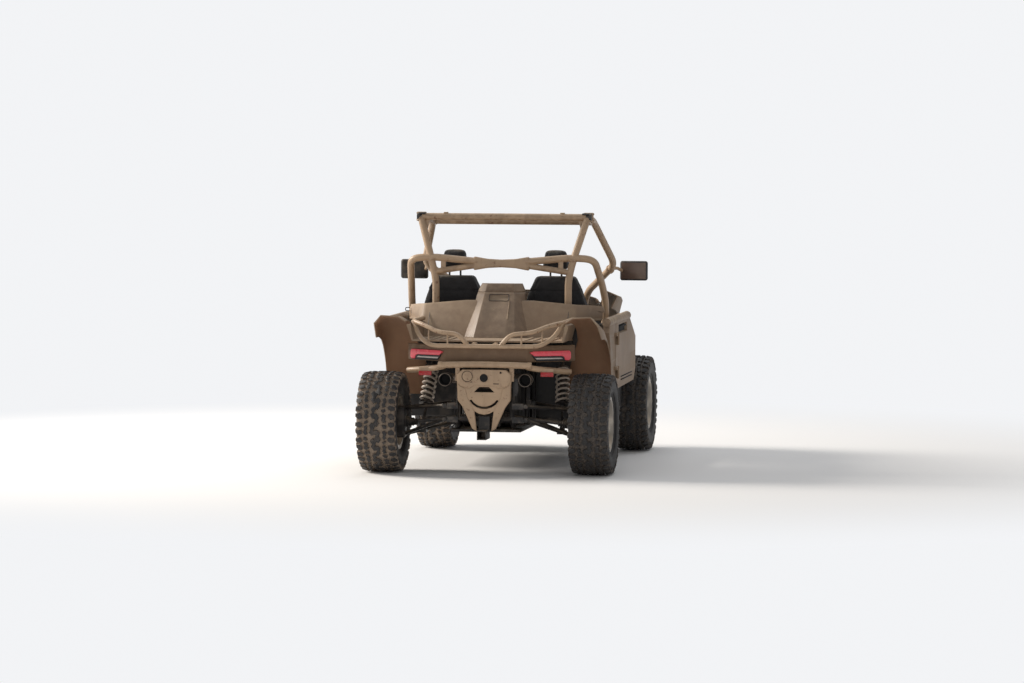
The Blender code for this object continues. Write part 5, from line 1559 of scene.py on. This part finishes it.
def makeDrives():
    for name in ("rear", "front"):
        station, reach = drive[name]
        halfX, halfY, low, high = drive["case"]
        bm = bmesh.new()
        block(bm, (-halfX, station - halfY, low), (halfX, station + halfY, high), 0.02, 3)
        for z in (0.36, 0.42):
            near, far = station - 0.05, station + 0.05
            block(bm, (-halfX - 0.004, near, z - 0.004), (halfX + 0.004, far, z + 0.004), 0.002)
        for side in layout["sides"]:
            inner = at(side * 0.14, station, drive["height"])
            outer = at(side * (reach - 0.05), station, layout["tyreRadius"])
            rod(bm, inner, outer, drive["shaft"], 20)
            for x, z, along in ((0.09, drive["height"], side), (reach, layout["tyreRadius"], -side)):
                boot(bm, at(side * x, station, z), (along, 0, 0), *drive["boot"])
        piece(bm, name + "_drive_case", "chassis", "blackSteel", [name + "_drive"])


# Front face: lamps, grille bars and the loop bumper
front = {
    "lamp": ((0.334, 0.769), (0.501, 0.781), (0.510, 0.812), (0.344, 0.822)),
    "face": 2.6103,
    "bumperY": 2.71,
    "loop": ((0.21, 0.40), (0.25, 0.78), (0.0, 0.80)),
    "tube": 0.02,
}


def makeFront():
    refined("front_grille", "blackPlastic", 0.003)
    bm = bmesh.new()
    sheet(front["lamp"], front["face"], front["face"] + 0.032, "XZ", bm, 0.005, 3)
    pair(bm, "headlamp_lens", "chassis", "clearLens", ["headlamp_right"])
    bm = bmesh.new()
    y = front["bumperY"]
    for side in layout["sides"]:
        loop = [at(side * x, y, z) for x, z in front["loop"]]
        bar(bm, bent(loop, 0.08), front["tube"], 20)
        rod(bm, at(side * 0.222, y, 0.47), at(side * 0.222, front["face"], 0.47), 0.016, 20)
        rod(bm, at(side * 0.21, y, 0.395), at(side * 0.21, y, 0.402), 0.0198, 20, bevel=0.002)
    rod(bm, at(-0.22, y, 0.56), at(0.22, y, 0.56), front["tube"], 24)
    piece(bm, "front_bumper_tubes", "chassis", "tanPaint", ["front_bumper"])


# Tyres: a round-shouldered carcass with hooked lugs and shoulder blocks
def treadAt(across, half, radius, arc):
    # a point on the crowned tread, arc metres round from the top
    radius -= tyre["crown"] * (abs(across) / half) ** 4
    turn = arc / tyre["lugRadius"]
    return Vector((across, radius * math.sin(turn), radius * math.cos(turn)))


def lug(bm, outline, half, shift, side):
    scale = half / tyre["drawnHalf"]
    stretch = math.tau * tyre["lugRadius"] / tyre["pitches"] / tyre["drawnPitch"]
    rows = [(x * scale * side, arc * stretch * side + shift) for x, arc in outline]
    foot = tyre["treadRadius"] - tyre["lugFoot"]
    face = bm.faces.new([bm.verts.new(treadAt(x, half, foot, arc)) for x, arc in rows])
    base = list(face.verts)
    grown = bmesh.ops.extrude_face_region(bm, geom=[face])["geom"]
    tops = [part for part in grown if isinstance(part, bmesh.types.BMVert)]
    middle = sum((vert.co for vert in tops), Vector()) / len(tops)
    for vert in tops:
        out = Vector((0, vert.co.y, vert.co.z)).normalized()
        vert.co += out * (tyre["lugRadius"] - foot)
        vert.co += (middle - vert.co).normalized() * tyre["lugTaper"]
    for vert in tops + base:
        vert.co.x = max(-half * tyre["lugReach"], min(half * tyre["lugReach"], vert.co.x))
    caps = [part for part in grown if isinstance(part, bmesh.types.BMFace)]
    bevelEdges(bm, list({edge for cap in caps for edge in cap.edges}), 0.0022, 1)


def makeTyre(end, station, body):
    half = tyre["widths"][end] / 2
    bm = bmesh.new()
    pitch = math.tau * tyre["lugRadius"] / tyre["pitches"]
    for side in (1, -1):
        shift = 0.0 if side > 0 else pitch / 2
        for outline in tyre["lugs"]:
            lug(bm, outline, half, shift, side)
        for low, high, arc, wide in tyre["shoulder"]:
            middle = (low + high) / 2
            turn = Matrix.Rotation(-(arc * side + shift) / tyre["lugRadius"], 4, "X")
            near, far = sorted((side * half * 0.93, side * half * 0.992))
            size = (high - low) / 2
            block(bm, (near, -wide / 2, middle - size), (far, wide / 2, middle + size), 0.003, 1, turn)
    bmesh.ops.spin(
        bm, geom=bm.verts[:] + bm.edges[:] + bm.faces[:], cent=(0, 0, 0), axis=(1, 0, 0),
        angle=math.tau, steps=tyre["pitches"], use_duplicate=True, use_merge=True,
    )
    bmesh.ops.remove_doubles(bm, verts=bm.verts, dist=1e-6)
    # an uneven pattern, as moulded lugs wear: a slow sideways and lengthwise wave
    (aside, waves, lean), (onward, ripples, slant) = tyre["waves"]
    for vert in bm.verts:
        turn = math.atan2(vert.co.y, vert.co.z)
        free = 1.0 - (vert.co.x / half) ** 4
        vert.co.x += aside * free * math.sin(waves * turn + lean * vert.co.x)
        shift = onward * free * math.sin(ripples * turn + slant * vert.co.x)
        vert.co = Matrix.Rotation(shift, 3, "X") @ vert.co
    base = tyre["treadRadius"]
    wall = [
        (0.750, 0.1783), (0.752, 0.198), (0.80, 0.203), (0.84, 0.212), (0.93, 0.230), (0.965, 0.250),
        (0.975, 0.275), (0.965, 0.300), (0.935, 0.318), (0.86, base - 0.009), (0.65, base - 0.003),
        (0.35, base),
    ]
    wall = [(share * half, radius) for share, radius in wall]
    profile = wall + [(-x, radius) for x, radius in reversed(wall)]
    turned(bm, profile, Vector((0, 0, 0)), tyre["steps"])
    for share, radius in tyre["beads"]:
        for side in (1, -1):
            centre = Vector((share * half * side, 0, 0))
            hoop(bm, centre, Vector((1, 0, 0)), radius, 0.0022, tyre["steps"], 6)
    bmesh.ops.translate(bm, vec=at(layout["wheelX"], station, layout["tyreRadius"]), verts=bm.verts)
    name = end + "_tyre"
    pair(bm, name + "_tread", body, end + "Tyre", [name + "_right"], 40)


# Rims: barrel, bolted edge ring, paired spokes, hub with nuts, brake disc
rim = {
    "spokes": 10,
    "bead": 0.1777,
    "face": 0.42,
    # rings of parts as count, radius and size
    "nuts": (4, 0.042, 0.0075),
    "bolts": (16, 0.1835, 0.0042),
    "holes": (24, 0.088, 0.004),
    "disc": ((-0.016, 0.052), (-0.016, 0.105), (-0.010, 0.105), (-0.010, 0.052)),
}


def ringOf(count, radius, x, share=0.0):
    # places on a circle about the axle, starting at a share of a step
    turns = [math.tau * (i + share) / count for i in range(count)]
    return [Vector((x, radius * math.cos(turn), radius * math.sin(turn))) for turn in turns]


def makeRim(end, station, body):
    half = tyre["widths"][end] / 2
    bm = bmesh.new()
    zero = Vector((0, 0, 0))
    bead = rim["bead"]
    barrel = [
        (-0.80 * half, 0.168), (-0.80 * half, 0.195), (-0.76 * half, 0.195), (-0.758 * half, bead),
        (-0.30 * half, bead - 0.006), (0.30 * half, bead - 0.006), (0.758 * half, bead),
        (0.76 * half, 0.195), (0.80 * half, 0.195), (0.80 * half, 0.172), (0.74 * half, 0.166),
        (0.50 * half, 0.160), (-0.50 * half, 0.160),
    ]
    turned(bm, barrel, zero, 64)
    face = rim["face"] * half
    for i in range(rim["spokes"]):
        turn = Matrix.Rotation(math.tau * i / rim["spokes"], 4, "X")
        for lean in (-1, 1):
            tilt = turn @ Matrix.Translation((0, lean * 0.012, 0.045))
            tilt = tilt @ Matrix.Rotation(-lean * 0.11, 4, "X")
            low = (face - 0.013, -0.0065, 0.0)
            block(bm, low, (face + 0.012, 0.0065, 0.122), 0.003, 2, tilt)
    rod(bm, Vector((face - 0.022, 0, 0)), Vector((face + 0.010, 0, 0)), 0.058, 40, 0.054, 0.004)
    rod(bm, Vector((face, 0, 0)), Vector((face + 0.030, 0, 0)), 0.030, 32, 0.026, 0.005)
    rod(bm, Vector((-0.0197, 0, 0)), Vector((face, 0, 0)), 0.050, 32, bevel=0.003)
    count, radius, size = rim["nuts"]
    for spot in ringOf(count, radius, face + 0.010, 0.5):
        bolt(bm, spot, Vector((1, 0, 0)), size)
    count, radius, size = rim["bolts"]
    for spot in ringOf(count, radius, 0.795 * half):
        bolt(bm, spot, Vector((1, 0, 0)), size)
    where = at(layout["wheelX"], station, layout["tyreRadius"])
    bmesh.ops.translate(bm, vec=where, verts=bm.verts)
    name = end + "_rim"
    pair(bm, name + "_spokes", body, "alloyRim", [name + "_right"], 35)
    bm = bmesh.new()
    turned(bm, rim["disc"], where, 48)
    count, radius, size = rim["holes"]
    for spot in ringOf(count, radius, -0.0165):
        rod(bm, where + spot, where + spot + Vector((0.002, 0, 0)), size, 8)
    pair(bm, end + "_brake_disc", body, "exhaustSteel")


makeCage()
makeDeck()
makeHump()
makeTailLamps()
makeRearBumper()
makeGuard()
makeRack()
print("cage and tail made")
makeRearFender()
makeDoor()
makeHood()
makeFrontFender()
makeMirror()
print("body sides and front made")
makeFront()
makeShocks()
makeExhaust()
makeDrives()
makeCabin()
makeSeats()
print("running gear, cabin and seats made")
for end, station, body in (
    ("rear", 0.0, "wheel_rear_right"),
    ("front", layout["wheelbase"], "wheel_front_right"),
):
    makeTyre(end, station, body)
    makeRim(end, station, body)
print("wheels made")
refineTheRest()
print("other solids dressed")

# Camera at the photograph's place, floor and soft light
view = {
    "place": (4.99481, -31.89511, 2.64366),
    "down": 0.05523,
    "aside": 0.15598,
    "roll": 0.00297,
    "lens": 156.85,
    "sensor": 36.0,
}


def makeCamera():
    camera = bpy.data.cameras.new("photoView")
    camera.lens = view["lens"]
    camera.sensor_width = view["sensor"]
    camera.clip_end = 200
    obj = bpy.data.objects.new("photoView", camera)
    turn = Matrix.Rotation(view["aside"], 4, "Z") @ Matrix.Rotation(math.pi / 2 - view["down"], 4, "X")
    obj.matrix_world = Matrix.Translation(view["place"]) @ turn @ Matrix.Rotation(view["roll"], 4, "Z")
    bpy.context.scene.collection.objects.link(obj)
    bpy.context.scene.camera = obj


# Light: a low warm key, a soft top and a weak fill on a plain white ground
stage = {"colour": (0.97, 0.98, 1.0, 1.0), "white": 0.92, "ambient": 0.40, "fade": (2.6, 6.5)}
lights = (
    # name, place, size, power, colour
    ("keySoftbox", (-13.0, 2.2, 7.6), 5.0, 3300, (1.0, 0.94, 0.86)),
    ("topSoftbox", (0.5, 3.5, 7.5), 6.0, 200, (0.95, 0.97, 1.0)),
    ("fillSoftbox", (1.5, -10.0, 3.2), 6.0, 90, (1.0, 0.98, 0.95)),
)


def makeLights():
    for name, place, size, power, colour in lights:
        lamp = bpy.data.lights.new(name, "AREA")
        lamp.size = size
        lamp.energy = power
        lamp.color = colour
        obj = bpy.data.objects.new(name, lamp)
        aim = Vector((0, 0, 0.6)) - Vector(place)
        obj.matrix_world = Matrix.Translation(place) @ aim.to_track_quat("-Z", "Y").to_matrix().to_4x4()
        bpy.context.scene.collection.objects.link(obj)


def makeWorld():
    # the camera sees white, the vehicle gets a weaker light
    f = Finish("studio", True)
    f.shade(Color=stage["colour"], Strength=stage["ambient"])
    path = [f.node("ShaderNodeLightPath", output=i) for i in (0, 6)]
    either = f.node("ShaderNodeMath", {"operation": "MAXIMUM", "use_clamp": True}, {0: path[0], 1: path[1]})
    white = f.node("ShaderNodeBackground", inputs={"Color": stage["colour"], "Strength": stage["white"]})
    ambient = Socket(f, f.shader.outputs[0])
    mixed = f.node("ShaderNodeMixShader", inputs={0: either, 1: ambient, 2: white})
    f.feed(f.tree.nodes["World Output"].inputs[0], mixed)
    bpy.context.scene.world = f.material


def makeFloor():
    # plain paper that runs out to the white background a few metres from the vehicle
    bm = bmesh.new()
    bmesh.ops.create_grid(bm, x_segments=1, y_segments=1, size=60)
    mesh = bpy.data.meshes.new("floor")
    bm.to_mesh(mesh)
    bm.free()
    f = Finish("floorPaper")
    f.shade(Base_Color=(0.80, 0.79, 0.78, 1.0), Roughness=0.9)
    far = f.node("ShaderNodeVectorMath", {"operation": "LENGTH"}, {0: f.place}, 1)
    path = [f.node("ShaderNodeLightPath", output=i) for i in (0, 3, 6)]
    settings = {"operation": "ADD", "use_clamp": True}
    seen = f.node("ShaderNodeMath", settings, {0: path[0] + path[1], 1: path[2]})
    glow = f.node("ShaderNodeEmission", inputs={"Color": stage["colour"], "Strength": stage["white"]})
    shader = Socket(f, f.shader.outputs[0])
    mixed = f.node("ShaderNodeMixShader", inputs={0: f.band(far, *stage["fade"]) * seen, 1: shader, 2: glow})
    f.feed(f.tree.nodes["Material Output"].inputs[0], mixed)
    mesh.materials.append(f.material)
    obj = bpy.data.objects.new("floor", mesh)
    bpy.context.scene.collection.objects.link(obj)


makeCamera()
makeLights()
makeWorld()
makeFloor()
bpy.context.scene.view_settings.view_transform = "Standard"
print("camera, light and floor placed")
